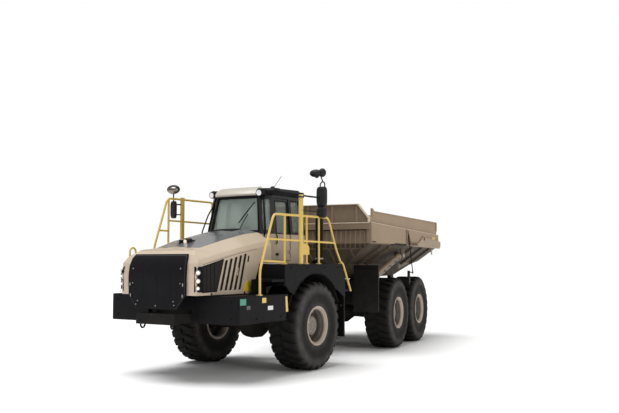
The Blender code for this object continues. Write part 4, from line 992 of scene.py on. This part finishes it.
def handrails():
    y = 1.37
    b = Build("guard_rail_left")
    b.pipe([(1.737, y, 1.414), (1.737, y, 1.83), (1.371, y, 2.72), (1.31, y, 2.79), (-0.44, y, 2.81), (-0.52, y, 2.76), (-0.80, y, 2.20), (-0.98, y, DECK + 0.02)], 0.021, YELLOW, 14, 0.09)
    for p, q, r in (((1.665, y, 1.990), (1.00, y, 1.968), 0.018), ((1.51, y, 2.36), (-0.72, y, 2.335), 0.018), ((1.00, y, 2.79), (1.00, y, DECK), 0.019), ((0.28, y, 2.80), (0.28, y, DECK), 0.019), ((-0.15, y, 2.80), (-0.15, y, DECK), 0.019)):
        b.pipe([p, q], r, YELLOW, 12)
    # the rear leg runs on below the deck, down to the flap
    b.pipe([(-0.960, y + 0.012, 1.975), (-0.985, y + 0.047, 1.925), (-1.150, y + 0.047, 1.635), (-1.285, y + 0.047, 1.400)], 0.020, YELLOW, 14, 0.03)
    b.box((-1.300, -1.036), (y - 0.020, y + 0.034), (1.392, 1.432), BLACK, 0.004)
    b.box((0.42, 0.52), (y - 0.02, y + 0.02), (DECK, 3.22), YELLOW, 0.006)
    b.prism("y", [(0.20, 2.10), (0.48, 2.10), (0.48, 2.30), (0.28, 2.30), (0.20, 2.24)], y - 0.010, y + 0.010, YELLOW, 0.003)
    for x in (1.00, 0.28, -0.15, -0.98):
        b.box((x - 0.045, x + 0.045), (y - 0.035, y + 0.030), (DECK - 0.001, DECK + 0.014), YELLOW, 0.003)
        for dx in (-0.032, 0.032):
            b.bolt((x + dx, y - 0.0, DECK + 0.012), (0, 0, 1), 0.008)
    b.box((1.692, 1.782), (y - 0.04, y + 0.027), (1.412, 1.428), YELLOW, 0.003)
    for dx in (-0.032, 0.032):
        b.bolt((1.737 + dx, y, 1.426), (0, 0, 1), 0.008)
    for z in (2.50, 2.90):
        b.bolt((0.47, y + 0.018, z), (0, 1, 0), 0.010)
    b.done("front_section", replaces=["handrail_left"], slot="safety_yellow")

    y = -1.37
    b = Build("guard_rail_right")
    b.pipe([(1.33, y, DECK), (1.33, y, 2.25), (1.0, y, 3.15), (0.93, y, 3.20), (-0.384, y, 3.20), (-0.45, y, 3.10), (-0.62, y, DECK + 0.02)], 0.021, YELLOW, 14, 0.08)
    for p, q, r in (((0.945, y, 3.20), (0.945, y, DECK), 0.021), ((0.945, y, 2.77), (-0.52, y, 2.755), 0.018), ((1.215, y, 2.57), (0.945, y, 2.57), 0.018), ((-0.38, y, 3.20), (-0.38, y, DECK), 0.019)):
        b.pipe([p, q], r, YELLOW, 12)
    b.box((0.50, 0.59), (y - 0.02, y + 0.02), (DECK, 3.24), YELLOW, 0.006)
    b.box((0.98, 1.40), (y - 0.03, y + 0.03), (DECK - 0.001, DECK + 0.03), YELLOW, 0.006)
    for x in (0.945, -0.38, -0.60):
        b.box((x - 0.045, x + 0.045), (y - 0.030, y + 0.035), (DECK - 0.001, DECK + 0.014), YELLOW, 0.003)
        for dx in (-0.032, 0.032):
            b.bolt((x + dx, y, DECK + 0.012), (0, 0, 1), 0.008)
    b.done("front_section", replaces=["handrail_right"], slot="safety_yellow")


def mirrors():
    # left: a tall head, a shorter one under it, and a two-lobed round one on an arm
    b = Build("mirror_heads_left")
    x = -0.16

    def head(x0, x1, y0, y1, z0, z1, face_at):
        cy, hz = (y0 + y1) / 2, (z1 - z0) / 2
        rings = []
        for t, shrink in ((0.0, 0.90), (0.12, 0.99), (0.35, 1.0), (0.70, 0.97), (0.90, 0.86), (1.0, 0.66)):
            ring = []
            for i in range(28):
                a = 2 * math.pi * i / 28
                c, d = math.cos(a), math.sin(a)
                e = 0.42
                ring.append((x0 + (x1 - x0) * t, cy + shrink * (y1 - y0) / 2 * math.copysign(abs(c) ** e, c), (z0 + z1) / 2 + shrink * hz * math.copysign(abs(d) ** e, d)))
            rings.append(ring)
        b.loft(rings, PLASTIC, True)
        ring = []
        for k, off in ((0.88, -0.0012), (0.86, -0.0016)):
            ring.append([(x0 + off, cy + k * (y1 - y0) / 2 * math.copysign(abs(math.cos(2 * math.pi * i / 28)) ** 0.42, math.cos(2 * math.pi * i / 28)), (z0 + z1) / 2 + k * hz * math.copysign(abs(math.sin(2 * math.pi * i / 28)) ** 0.42, math.sin(2 * math.pi * i / 28))) for i in range(28)])
        b.loft(ring, MIRROR, True)

    head(x - 0.050, x + 0.055, 1.325, 1.528, 3.000, 3.380, -1)
    head(x - 0.046, x + 0.052, 1.335, 1.520, 2.790, 2.990, -1)
    b.pipe([(0.42, 1.372, 3.17), (0.10, 1.372, 3.17), (x + 0.02, 1.40, 3.17)], 0.016, PLASTIC, 10)
    b.pipe([(0.42, 1.372, 2.90), (0.10, 1.372, 2.90), (x + 0.02, 1.40, 2.91)], 0.012, PLASTIC, 10)
    b.pipe([(x, 1.395, 2.90), (x, 1.395, 3.42), (x, 1.43, 3.465), (x, 1.475, 3.465), (x, 1.495, 3.42), (x, 1.495, 3.30)], 0.012, PLASTIC, 10, 0.04)
    b.pipe([(x, 1.455, 3.462), (x + 0.01, 1.425, 3.55), (x + 0.02, 1.395, 3.625)], 0.012, PLASTIC, 10)
    for c, r, squash in (((x + 0.030, 1.315, 3.632), 0.122, (0.80, 1.0, 0.60)), ((x - 0.005, 1.440, 3.640), 0.082, (0.80, 0.90, 1.02))):
        ball(b, c, r, PLASTIC, squash, 26, 12)
        b.round((c[0] - r * 0.9 * 0.55, c[1], c[2] - 0.022), (c[0] - r * 0.9 * 0.55 - 0.02, c[1], c[2] - 0.035), [(0, r * 0.55), (0.018, r * 0.55), (0.022, r * 0.3)], MIRROR, 20)
    for z in (3.14, 3.20):
        b.box((0.405, 0.535), (1.348, 1.394), (z - 0.014, z + 0.014), PLASTIC, 0.004)
    b.done("front_section", replaces=["mirror_left"], slot="cab_plastic")

    b = Build("mirror_heads_right")
    head_b = b
    x = 0.71
    rings = []
    for t, shrink in ((0.0, 0.90), (0.12, 0.99), (0.35, 1.0), (0.70, 0.97), (0.90, 0.86), (1.0, 0.66)):
        ring = []
        for i in range(28):
            a = 2 * math.pi * i / 28
            c, d = math.cos(a), math.sin(a)
            ring.append((0.682 + 0.078 * t, -1.4475 + shrink * 0.0615 * math.copysign(abs(c) ** 0.42, c), 2.995 + shrink * 0.174 * math.copysign(abs(d) ** 0.42, d)))
        rings.append(ring)
    head_b.loft(rings, PLASTIC, True)
    plate = []
    for k, off in ((0.88, -0.0012), (0.86, -0.0016)):
        plate.append([(0.682 + off, -1.4475 + k * 0.0615 * math.copysign(abs(math.cos(2 * math.pi * i / 28)) ** 0.42, math.cos(2 * math.pi * i / 28)), 2.995 + k * 0.174 * math.copysign(abs(math.sin(2 * math.pi * i / 28)) ** 0.42, math.sin(2 * math.pi * i / 28))) for i in range(28)])
    head_b.loft(plate, MIRROR, True)
    b.pipe([(0.59, -1.378, 3.10), (0.66, -1.40, 3.10), (0.70, -1.41, 3.10)], 0.014, PLASTIC, 10)
    b.pipe([(0.59, -1.378, 2.90), (0.66, -1.40, 2.90), (0.70, -1.41, 2.90)], 0.012, PLASTIC, 10)
    b.pipe([(0.73, -1.44, 3.10), (0.73, -1.44, 3.36)], 0.013, PLASTIC, 10)
    ball(b, (0.735, -1.44, 3.392), 0.150, PLASTIC, (0.62, 1.0, 0.60), 32, 14)
    ball(b, (0.752, -1.428, 3.376), 0.136, MIRROR_TINTED, (0.66, 0.98, 0.60), 32, 14)
    b.round((0.675, -1.44, 3.388), (0.643, -1.44, 3.380), [(0, 0.078), (0.016, 0.070), (0.026, 0.042), (0.030, 0.02)], MIRROR, 26)
    b.done("front_section", replaces=["mirror_right"], slot="cab_plastic")


cab_details()
interior()
handrails()
mirrors()


# ---- dump body ---------------------------------------------------------------------------------
# dark strip colour: laid under the rail and under the front band as painted shade lines
DARK_STRIP = plain("dark_brown_strip", (0.022, 0.016, 0.012), 0.7, 0, 30, 0.2, 0.3, shine=0.2)
ARM_BROWN = plain("arm_paint_worn_brown", (0.105, 0.058, 0.032), 0.6, 0, 18, 0.3, 0.4, shine=0.25)
# pale edge colour: painted highlight on lit edges, with some wear
PALE_EDGE = plain("pale_edge_highlight_and_wear", (0.62, 0.52, 0.40), 0.45, 0, 22, 0.2, 0.15)
RED_LENS = plain("red_lamp_lens", (0.42, 0.012, 0.010), 0.2, 0, 120, 0.3, 0.1, 0.5)
LINER = paint("body_inside_scoured", (0.215, 0.175, 0.135), (0.11, 0.083, 0.06), 0.95, 0.55, 0.0, 3.4, 0.35)


def body_details():
    b = Build("body_front_wall_details", REAR)
    x = -2.12
    # flange that caps the guard, with its slanted corners, in a pale colour: a painted highlight on the lit edge, with
    # wear
    path = [(-1.425, 2.800), (-1.425, 2.905), (-1.185, 3.202), (1.185, 3.202), (1.425, 2.905), (1.425, 2.800)]
    rings = []
    for y, z in path:
        k = 0.985
        rings.append([(x - 0.030, y * 1.0, z), (x + 0.052, y * 1.0, z), (x + 0.052, y * k, z - 0.014 * (z > 2.85)), (x - 0.030, y * k, z - 0.014 * (z > 2.85))])
    b.loft(rings, PALE_EDGE)
    # uprights on the guard, and the ribbed plate under the band
    for y in (-1.14, -0.57, 0.0, 0.57, 1.14):
        top = 3.19 if abs(y) < 1.1 else 3.17
        b.loft([[(x - 0.01, y - 0.035, z), (x + 0.030, y - 0.018, z), (x + 0.030, y + 0.018, z), (x - 0.01, y + 0.035, z)] for z in (2.80, top)], BODY_RIB)
    for k in range(25):
        y = -1.32 + 0.11 * k
        b.loft([[(x - 0.006, y - 0.020, z), (x + 0.016, y - 0.011, z), (x + 0.016, y + 0.011, z), (x - 0.006, y + 0.020, z)] for z in (2.262, 2.655)], BODY_RIB)
    # dark strip under the band: a painted shadow line
    b.box((x - 0.01, x + 0.034), (-1.41, 1.41), (2.640, 2.662), DARK_STRIP, 0.002)
    b.box((x - 0.01, x + 0.030), (-1.40, 1.40), (2.236, 2.264), BODY_RIB, 0.004)
    # pale strip along the top of the band: a painted highlight
    b.box((x + 0.060, x + 0.078), (-1.44, 1.44), (2.786, 2.806), PALE_EDGE, 0.004)
    for s in (1, -1):
        b.box((x - 0.02, x + 0.042), sorted((s * 1.372, s * 1.474)), (2.372, 2.664), BODY_RIB, 0.006)
    # dark lower front plate, on the slope under the ribs, dark from the body paint's painted shade
    slope = Vector((-0.78, 0, -0.65)).normalized()
    out = Vector((0.64, 0, -0.768)).normalized()
    top, low = Vector((x, 0, 2.238)), Vector((-2.885, 0, 1.612))
    for y in (-1.0, -0.5, 0.0, 0.5, 1.0):
        rings = []
        for t in (0.0, 0.25, 0.55, 0.9):
            c = top.lerp(low, t)
            half_w = 0.020
            if abs(y) > 0.80 and c.z < 2.08:
                continue
            rings.append([c - out * 0.01 + Vector((0, y - half_w, 0)), c + out * 0.012 + Vector((0, y - half_w, 0)), c + out * 0.012 + Vector((0, y + half_w, 0)), c - out * 0.01 + Vector((0, y + half_w, 0))])
        if len(rings) > 1:
            b.loft(rings, BODY_RIB)
    b.done("dump_body", slot="champagne_paint")

    b = Build("body_side_details", REAR)
    for s in (1, -1):
        y = lambda lo_y, hi_y: sorted((s * lo_y, s * hi_y))
        # welded top rail edge in the pale colour, a painted highlight with wear; weld bead and the reinforcing lip
        # along the rail's top
        rail_top = lambda xx: lerp([(-7.575, 2.70), (-2.08, 2.805)], xx)
        b.loft([[(xx, s * 1.415, rail_top(xx) - 0.004), (xx, s * 1.474, rail_top(xx) - 0.004), (xx, s * 1.474, rail_top(xx) + 0.006), (xx, s * 1.430, rail_top(xx) + 0.012), (xx, s * 1.415, rail_top(xx) + 0.020)] for xx in (-2.085, -4.0, -6.0, -7.57)], PALE_EDGE)
        b.loft([[(xx, s * 1.414, z - 0.016), (xx, s * 1.444, z - 0.010), (xx, s * 1.444, z + 0.006), (xx, s * 1.372, z + 0.006), (xx, s * 1.372, z - 0.016)] for xx, z in ((-2.19, 3.190), (-2.46, 3.050), (-7.455, 3.040))][1:], BODY_RIB)
        # dark strip under the rail, a painted shade line, and short dark slots at its front
        b.box((-7.56, -3.55), y(1.395, 1.478), (2.356, 2.376), DARK_STRIP, 0.004)
        b.box((-5.05, -3.70), y(1.462, 1.4765), (2.376, 2.398), DARK_STRIP, 0.002)
        b.box((-2.40, -2.16), y(1.462, 1.4745), (2.385, 2.412), DARK_STRIP, 0.002)
        # welded joints on the rail plate
        for xx in (-4.30, -5.62, -6.85):
            z1 = rail_top(xx)
            b.loft([[(xx - 0.006, s * 1.468, z), (xx - 0.002, s * 1.4725, z), (xx + 0.002, s * 1.4725, z), (xx + 0.006, s * 1.468, z)] for z in (2.40, z1 - 0.006)], BODY_RIB)
        # tail corner post and small hanging bracket
        b.box((-7.545, -7.45), y(1.405, 1.440), (2.80, 3.045), BODY_RIB, 0.006)
        b.prism("y", [(-7.47, 2.36), (-7.36, 2.36), (-7.38, 2.20), (-7.44, 2.16)], s * 1.30, s * 1.33, PALE_EDGE, 0.003)
        # amber marker
        b.box((-7.20, -6.94), y(1.4695, 1.4745), (2.56, 2.63), REFLECTOR, 0.002)
        # hinge boss of the tailgate's arm
        b.round((-6.04, s * 1.44, 2.558), (-6.04, s * 1.477, 2.558), [(0, 0.062), (0.030, 0.062), (0.037, 0.055)], BODY_RIB, 22)
        # ribs across the sloped underside
        for xx in (-2.98, -3.55, -5.35, -6.15, -6.90):
            z0 = 1.93 if xx > -7.0 else 1.99
            floor = lerp([(-7.40, 1.96), (-5.60, 1.64), (-2.90, 1.60), (-2.12, 2.25)], xx)
            low_z = max(floor + 0.01, 1.66)
            start = (0.802, max(1.93, low_z)) if low_z < 1.93 else (0.802 + (low_z - 1.93) / 0.44 * 0.62, low_z)
            poly = [start, (1.400, 2.362), (1.400, 2.300), (start[0] + 0.055, start[1] - 0.030)]
            b.loft([[(xx - 0.020, s * yy, zz) for yy, zz in poly], [(xx + 0.020, s * yy, zz) for yy, zz in poly]], BODY_RIB)
        # hoist head bracket gusset and its pin
        b.prism("y", [(-4.60, 2.38), (-4.66, 2.04), (-4.84, 2.04), (-4.95, 2.38)], s * 1.306, s * 1.336, BODY_RIB, 0.004)
        b.round((-4.75, s * 1.33, 2.13), (-4.75, s * 1.362, 2.13), [(0, 0.050), (0.024, 0.050), (0.032, 0.040)], STEEL, 20)
    b.done("dump_body", slot="champagne_paint")

    # scoured wear plate that lines the inside
    b = Build("body_liner", REAR)

    def section(xx, f, t):
        k = max(1.955, f + 0.01)
        y_k = 0.772 + (k - 1.955) / 0.44 * 0.58
        return [(xx, -(1.360 - t), 3.035), (xx, -(1.360 - t), 2.398 + t), (xx, -(y_k - t), k + t * 0.6), (xx, -(y_k - t), f + t), (xx, y_k - t, f + t), (xx, y_k - t, k + t * 0.6), (xx, 1.360 - t, 2.398 + t), (xx, 1.360 - t, 3.035)]

    stations = [(-2.955, 1.672), (-5.60, 1.710), (-7.39, 2.030), (-7.535, 2.045)]
    rings = [section(xx, f, 0.001) + section(xx, f, 0.009)[::-1] for xx, f in stations]
    b.loft(rings, LINER)
    for k in range(6):
        xx = -3.6 - 0.62 * k
        f = lerp([(-7.39, 2.030), (-5.60, 1.710), (-2.955, 1.672)], xx)
        b.box((xx - 0.012, xx + 0.012), (-0.70, 0.70), (f + 0.004, f + 0.016), LINER, 0.002)
    b.done("dump_body", slot="champagne_paint")

    b = Build("tailgate_ribs_and_arms", REAR)
    for y in (-1.0, -0.5, 0.0, 0.5, 1.0):
        z0 = 2.02 if abs(y) < 0.86 else 2.13
        b.loft([[(-7.650, y - 0.050, z), (-7.676, y - 0.030, z), (-7.676, y + 0.030, z), (-7.650, y + 0.050, z)] for z in (z0, 2.94)], BEIGE_BODY)
    b.loft([[(-7.650, -1.34, z + 0.03), (-7.674, -1.32, z + 0.02), (-7.674, -1.32, z - 0.02), (-7.650, -1.34, z - 0.03)][:0] or [(-7.650, yy, 2.895), (-7.672, yy, 2.905), (-7.672, yy, 2.945), (-7.650, yy, 2.955)] for z, yy in ((0, -1.30), (0, 1.30))], BEIGE_BODY)
    b.loft([[(-7.650, yy, 2.425), (-7.672, yy, 2.435), (-7.672, yy, 2.475), (-7.650, yy, 2.485)] for yy in (-1.30, 1.30)], BEIGE_BODY)
    for s in (1, -1):
        poly = [(-4.585, 2.725), (-4.655, 2.725), (-4.86, 2.436), (-5.40, 2.436), (-5.50, 2.372), (-4.565, 2.368)]
        b.loft([[(xx, s * yy, zz) for xx, zz in poly] for yy in (1.5045, 1.5075)], ARM_BROWN)
        b.round((-4.62, s * 1.500, 2.60), (-4.62, s * 1.5105, 2.60), [(0, 0.040), (0.0095, 0.038)], STEEL, 20)
        b.round((-6.04, s * 1.500, 2.558), (-6.04, s * 1.5200, 2.558), [(0, 0.045), (0.013, 0.045), (0.019, 0.036)], ARM_BROWN, 20)
    b.done("tailgate", slot="champagne_paint")


def hoists():
    for s, side in ((1, "left"), (-1, "right")):
        foot, head = Vector((-2.86, s * 1.25, 1.62)), Vector((-4.75, s * 1.25, 2.13))
        axis = (head - foot).normalized()
        b = Build("hoist_barrel_fittings_" + side, REAR)
        at = lambda d: foot + axis * d
        b.round(at(1.795), at(1.868), [(0, 0.0735), (0.004, 0.0785), (0.060, 0.0785), (0.070, 0.070), (0.073, 0.052)], BEIGE_BODY, 28)
        b.round(at(0.082), at(0.13), [(0, 0.0735), (0.006, 0.0755), (0.040, 0.0755), (0.048, 0.0728)], BEIGE_BODY, 28)
        up = Vector((0, s, 0)).cross(axis).normalized()
        if up.z < 0:
            up = -up
        side_out = Vector((0, s, 0))
        # rigid feed pipe along the barrel with its ports and clips
        b.pipe([at(0.16) + side_out * 0.07, at(0.16) + side_out * 0.098, at(1.70) + side_out * 0.098, at(1.70) + side_out * 0.07], 0.010, STEEL, 8, 0.03)
        for d in (0.16, 1.70):
            b.round(at(d) + side_out * 0.060, at(d) + side_out * 0.086, [(0, 0.020), (0.02, 0.020), (0.026, 0.014)], BEIGE_BODY, 12)
        for d in (0.55, 0.95, 1.35):
            b.box((-0.012, 0.012), (0.066, 0.112), (-0.016, 0.016), BLACK, 0.003, Matrix.Translation(at(d)) @ Matrix.Scale(s, 4, (0, 1, 0)))
        b.round(foot - side_out * 0.001, foot + side_out * 0.064, [(0, 0.040), (0.055, 0.040), (0.063, 0.032)], STEEL, 18)
        b.done("hoist_barrel_" + side, slot="champagne_paint")


# ---- bumper, fenders, frame ----------------------------------------------------------------------
def front_end():
    b = Build("bumper_fittings")
    y = 1.40
    b.box((2.157, 2.317), (y - 0.002, y + 0.003), (1.275, 1.375), LABEL_GREEN, 0.002)
    b.box((2.04, 2.14), (y - 0.002, y + 0.0025), (1.20, 1.26), PLASTIC_GREY, 0.002)
    b.box((1.598, 1.714), (y - 0.002, y + 0.006), (1.290, 1.375), REFLECTOR, 0.004)
    b.box((1.392, 1.545), (y - 0.002, y + 0.003), (1.165, 1.235), LABEL_WHITE, 0.002)
    b.loft([[(0.965, yy, 1.375), (0.935, yy, 1.11), (1.00, yy, 1.11), (1.02, yy, 1.375)] for yy in (y - 0.002, y + 0.004)], REFLECTOR)
    for s in (1, -1):
        # folded lip along the top edges
        b.pipe([(0.945, s * 1.385, 1.409), (2.325, s * 1.385, 1.409), (2.352, s * 1.352, 1.409), (2.352, s * 0.56, 1.409)], 0.0075, BLACK, 8, 0.02)
        b.pipe([(0.945, s * 1.385, 0.970), (2.325, s * 1.385, 0.970), (2.352, s * 1.352, 0.970), (2.352, s * 0.56, 0.970)], 0.0075, BLACK, 8, 0.02)
        for yy in (0.68, 1.25):
            for z in (1.06, 1.32):
                b.bolt((2.360, s * yy, z), (1, 0, 0), 0.014, BLACK)
        for x in (1.15, 1.85):
            b.bolt((x, s * 1.40, 1.04), (0, s, 0), 0.014, BLACK)
        # grip strip on the wing's top, used as a step
        for k in range(14):
            x = 1.00 + 0.09 * k
            b.box((x, x + 0.050), sorted((s * 1.18, s * 1.34)), (1.4105, 1.4165), BLACK, 0.002)
        # tow eyes on the crossbar
        c = Vector((2.690, s * 0.33, 0.935))
        ringpts = [(c.x + 0.050 * math.cos(t), c.y, c.z + 0.050 * math.sin(t)) for t in [2 * math.pi * i / 16 for i in range(17)]]
        b.pipe(ringpts, 0.015, BLACK, 8, 0.004)
        b.round((2.757, s * 0.33, 1.04), (2.7595, s * 0.33, 1.04), [(0, 0.042), (0.002, 0.040)], STEEL, 20)
        b.bolt((2.742, s * 0.20, 1.085), (1, 0, 0), 0.010)
    b.box((2.352, 2.362), (-0.50, 0.50), (1.215, 1.385), BLACK, 0.004)
    b.done("front_section", slot="black_paint")

    for s, side in ((1, "left"), (-1, "right")):
        b = Build("fender_fittings_" + side)
        arch = [(0.96 * math.cos(math.radians(a)), s * 1.405, 0.81 + 0.96 * math.sin(math.radians(a))) for a in range(38, 145, 6)]
        b.pipe(arch, 0.011, SEAL, 8, 0.02)
        # curved liner of the wheel arch
        rings = []
        for a in range(24, 157, 6):
            ca, sa = math.cos(math.radians(a)), math.sin(math.radians(a))
            rings.append([(r * ca, s * yy, AXLE_Z + r * sa) for r, yy in ((0.950, 0.84), (0.950, 1.372), (0.962, 1.372), (0.962, 0.84))])
        b.loft(rings, CHASSIS)
        # round grip studs on the deck, as pressed by the maker of the plate
        for i in range(13):
            for j in range(3):
                x = -0.98 + 0.155 * i
                yy = 0.92 + 0.16 * j
                if s < 0 and abs(x + 0.86) < 0 or (s > 0 and -0.99 < x < -0.72 and yy < 1.08):
                    continue
                b.round((x, s * yy, DECK - 0.001), (x, s * yy, DECK + 0.006), [(0, 0.022), (0.004, 0.020), (0.0065, 0.014)], BLACK, 12)
        for x in (-0.80, -0.30, 0.30, 0.85):
            b.bolt((x, s * 1.410, 1.86), (0, s, 0), 0.012, BLACK)
        # tread bars on the step, and the flap's clamp strip
        for k in range(5):
            x = 1.08 + 0.075 * k
            b.box((x, x + 0.030), sorted((s * 1.03, s * 1.38)), (1.669, 1.680), BLACK, 0.002)
        b.box((-1.039, -1.028), sorted((s * 0.88, s * 1.38)), (1.10, 1.15), BLACK, 0.002)
        for k in range(5):
            b.bolt((-1.031, s * (0.94 + 0.10 * k), 1.125), (1, 0, 0), 0.010)
        # dark inner panel between the hood's rear edge and the fender
        b.loft([[(1.050, s * yy, 1.90), (1.050, s * yy, 1.415), (1.30, s * yy, 1.415), (1.285, s * yy, 1.47), (1.105, s * yy, 1.90)] for yy in (0.835, 0.850)], BLACK)
        b.done("front_section", slot="black_paint")

    # right-hand hoop on the front, seen beyond the nose
    b = Build("front_hoop_right")
    b.pipe([(2.135, -1.20, 1.412), (2.135, -1.20, 2.185), (2.065, -1.20, 2.235), (1.99, -1.20, 2.185), (1.99, -1.20, 1.412)], 0.018, YELLOW, 12, 0.05)
    for x in (2.135, 1.99):
        b.box((x - 0.040, x + 0.040), (-1.235, -1.165), (1.409, 1.422), YELLOW, 0.003)
    b.done("front_section", slot="safety_yellow")

    b = Build("exhaust_fittings")
    for z in (2.02, 2.88):
        b.round((-0.86, 0.95, z), (-0.86, 0.95, z + 0.03), [(0, 0.076), (0.003, 0.081), (0.027, 0.081), (0.03, 0.076)], STEEL, 24)
    for k in range(11):
        for j in range(10):
            a = 2 * math.pi * (j + 0.5 * (k % 2)) / 10
            c = Vector((-0.86 + 0.0745 * math.cos(a), 0.95 + 0.0745 * math.sin(a), 2.10 + 0.07 * k))
            o = Vector((math.cos(a), math.sin(a), 0))
            b.round(c, c + o * 0.004, [(0, 0.011), (0.003, 0.0105), (0.0035, 0.007)], SEAL, 8)
    b.done("front_section", slot="black_paint")


def rear_end():
    b = Build("rear_frame_fittings", REAR)
    # dark chassis-painted boxes on the frame rails, with straps and a cap: a dark shape put in the shade under the
    # body, closing the gap seen through there
    for s in (1, -1):
        b.box((-3.62, -3.02), sorted((s * 0.46, s * 0.70)), (1.02, 1.578), CHASSIS, 0.035)
        for x in (-3.48, -3.16):
            b.box((x - 0.022, x + 0.022), sorted((s * 0.455, s * 0.706)), (1.014, 1.582), BLACK, 0.006)
            b.bolt((x, s * 0.706, 1.30), (0, s, 0), 0.012)
        b.round((-3.32, s * 0.70, 1.48), (-3.32, s * 0.735, 1.48), [(0, 0.045), (0.024, 0.045), (0.034, 0.036)], PLASTIC, 24)
    for s in (1, -1):
        b.box((-6.462, -6.438), sorted((s * 0.335, s * 0.465)), (1.10, 1.36), BLACK, 0.006)
        for z in (1.15, 1.23, 1.31):
            b.round((-6.455, s * 0.40, z), (-6.478, s * 0.40, z), [(0, 0.034), (0.014, 0.034), (0.020, 0.026), (0.023, 0.010)], RED_LENS if z != 1.23 else REFLECTOR, 20)
        for x in (-3.0, -3.45, -3.9, -4.4, -5.2, -5.8):
            b.bolt((x, s * 0.470, 1.34), (0, s, 0), 0.016, CHASSIS)
        # tail flap hangers on the mudguard
        b.box((-2.757, -2.742), sorted((s * 0.90, s * 1.38)), (1.78, 1.83), BLACK, 0.002)
        for k in range(4):
            b.bolt((-2.745 + 0.09, s * (0.96 + 0.13 * k), 1.84), (1, 0, 0), 0.011, BLACK)
        # link posts' bolts
        for z in (1.50, 1.56):
            b.bolt((-4.93, s * 1.440, z), (0, s, 0), 0.010)
        b.pipe([(-3.2, s * 0.30, 1.30), (-4.0, s * 0.30, 1.30), (-5.6, s * 0.30, 1.30)], 0.018, SEAL, 8)
    for x in (MID_X, REAR_X):
        for i in range(12):
            a = 2 * math.pi * i / 12
            b.bolt((x + 0.235 * math.cos(a), 0.170, AXLE_Z + 0.235 * math.sin(a)), (0, 1, 0), 0.010, AXLE_IRON)
            b.bolt((x + 0.235 * math.cos(a), -0.170, AXLE_Z + 0.235 * math.sin(a)), (0, -1, 0), 0.010, AXLE_IRON)
        for s in (1, -1):
            b.round((x, s * 0.94, AXLE_Z), (x, s * 1.03, AXLE_Z), [(0, 0.150), (0.01, 0.165), (0.075, 0.165), (0.09, 0.130)], AXLE_IRON, 26)
            b.pipe([(x + 0.10, s * 0.30, AXLE_Z + 0.20), (x + 0.13, s * 0.55, AXLE_Z + 0.17), (x + 0.12, s * 0.95, AXLE_Z + 0.14)], 0.010, SEAL, 8)
    b.done("rear_section", slot="chassis_iron")

    b = Build("front_axle_fittings")
    for s in (1, -1):
        b.round((0, s * 0.94, AXLE_Z), (0, s * 1.03, AXLE_Z), [(0, 0.150), (0.01, 0.165), (0.075, 0.165), (0.09, 0.130)], AXLE_IRON, 26)
        # spring strut between axle and frame
        b.round((0.0, s * 0.60, 0.86), (0.0, s * 0.56, 1.24), [(0, 0.045), (0.20, 0.045), (0.205, 0.030), (0.36, 0.030)], AXLE_IRON, 16)
        b.pipe([(0.10, s * 0.30, AXLE_Z + 0.20), (0.13, s * 0.55, AXLE_Z + 0.17), (0.12, s * 0.95, AXLE_Z + 0.14)], 0.010, SEAL, 8)
    b.done("front_section", slot="chassis_iron")


body_details()
hoists()
front_end()
rear_end()


# ---- floor, light, camera ---------------------------------------------------------------------
def studio():
    mesh = bpy.data.meshes.new("studio_floor")
    n, size = 24, 60.0
    verts = [((i / n - 0.5) * 2 * size, (j / n - 0.5) * 2 * size, -0.001) for i in range(n + 1) for j in range(n + 1)]
    faces = [(i * (n + 1) + j, (i + 1) * (n + 1) + j, (i + 1) * (n + 1) + j + 1, i * (n + 1) + j + 1) for i in range(n) for j in range(n)]
    mesh.from_pydata(verts, [], faces)
    floor = bpy.data.objects.new("studio_floor", mesh)
    COLLECTION.objects.link(floor)
    m = Mat("studio_floor_white", 0.85)
    m.colour(m.mix(m.noise(0.6, 3), (0.93, 0.93, 0.93), (0.95, 0.95, 0.95)))
    mesh.materials.append(m.m)
    world = bpy.data.worlds.new("studio_world")
    world.use_nodes = True
    tree = world.node_tree
    back = tree.nodes["Background"]
    back.inputs["Color"].default_value = (1, 1, 1, 1)
    # the white backdrop is seen at full strength, and lights the truck at less
    seen = tree.nodes.new("ShaderNodeLightPath")
    level = tree.nodes.new("ShaderNodeMapRange")
    level.inputs["To Min"].default_value, level.inputs["To Max"].default_value = 0.46, 1.0
    tree.links.new(seen.outputs["Is Camera Ray"], level.inputs["Value"])
    tree.links.new(level.outputs["Result"], back.inputs["Strength"])
    bpy.context.scene.world = world
    for name, turn, power, soft, colour in (
        ("top_light", (math.radians(12), math.radians(10), 0), 2.75, 45, (1.0, 1.0, 1.0)),
        ("side_light", (math.radians(-62), math.radians(20), 0), 0.55, 35, (1.0, 0.98, 0.95)),
    ):
        light = bpy.data.lights.new(name, "SUN")
        light.energy, light.color, light.angle = power, colour, math.radians(soft)
        obj = bpy.data.objects.new(name, light)
        obj.rotation_euler = turn
        COLLECTION.objects.link(obj)
    data = bpy.data.cameras.new("photo_view")
    data.lens, data.sensor_width, data.sensor_fit = 45.39, 36.0, "HORIZONTAL"
    data.clip_start, data.clip_end = 0.1, 500
    camera = bpy.data.objects.new("photo_view", data)
    camera.location = (14.8459, 9.3210, 1.9657)
    camera.rotation_euler = (math.radians(94.078), 0, math.radians(121.867))
    COLLECTION.objects.link(camera)
    bpy.context.scene.camera = camera
    bpy.context.scene.view_settings.view_transform = "Standard"


studio()
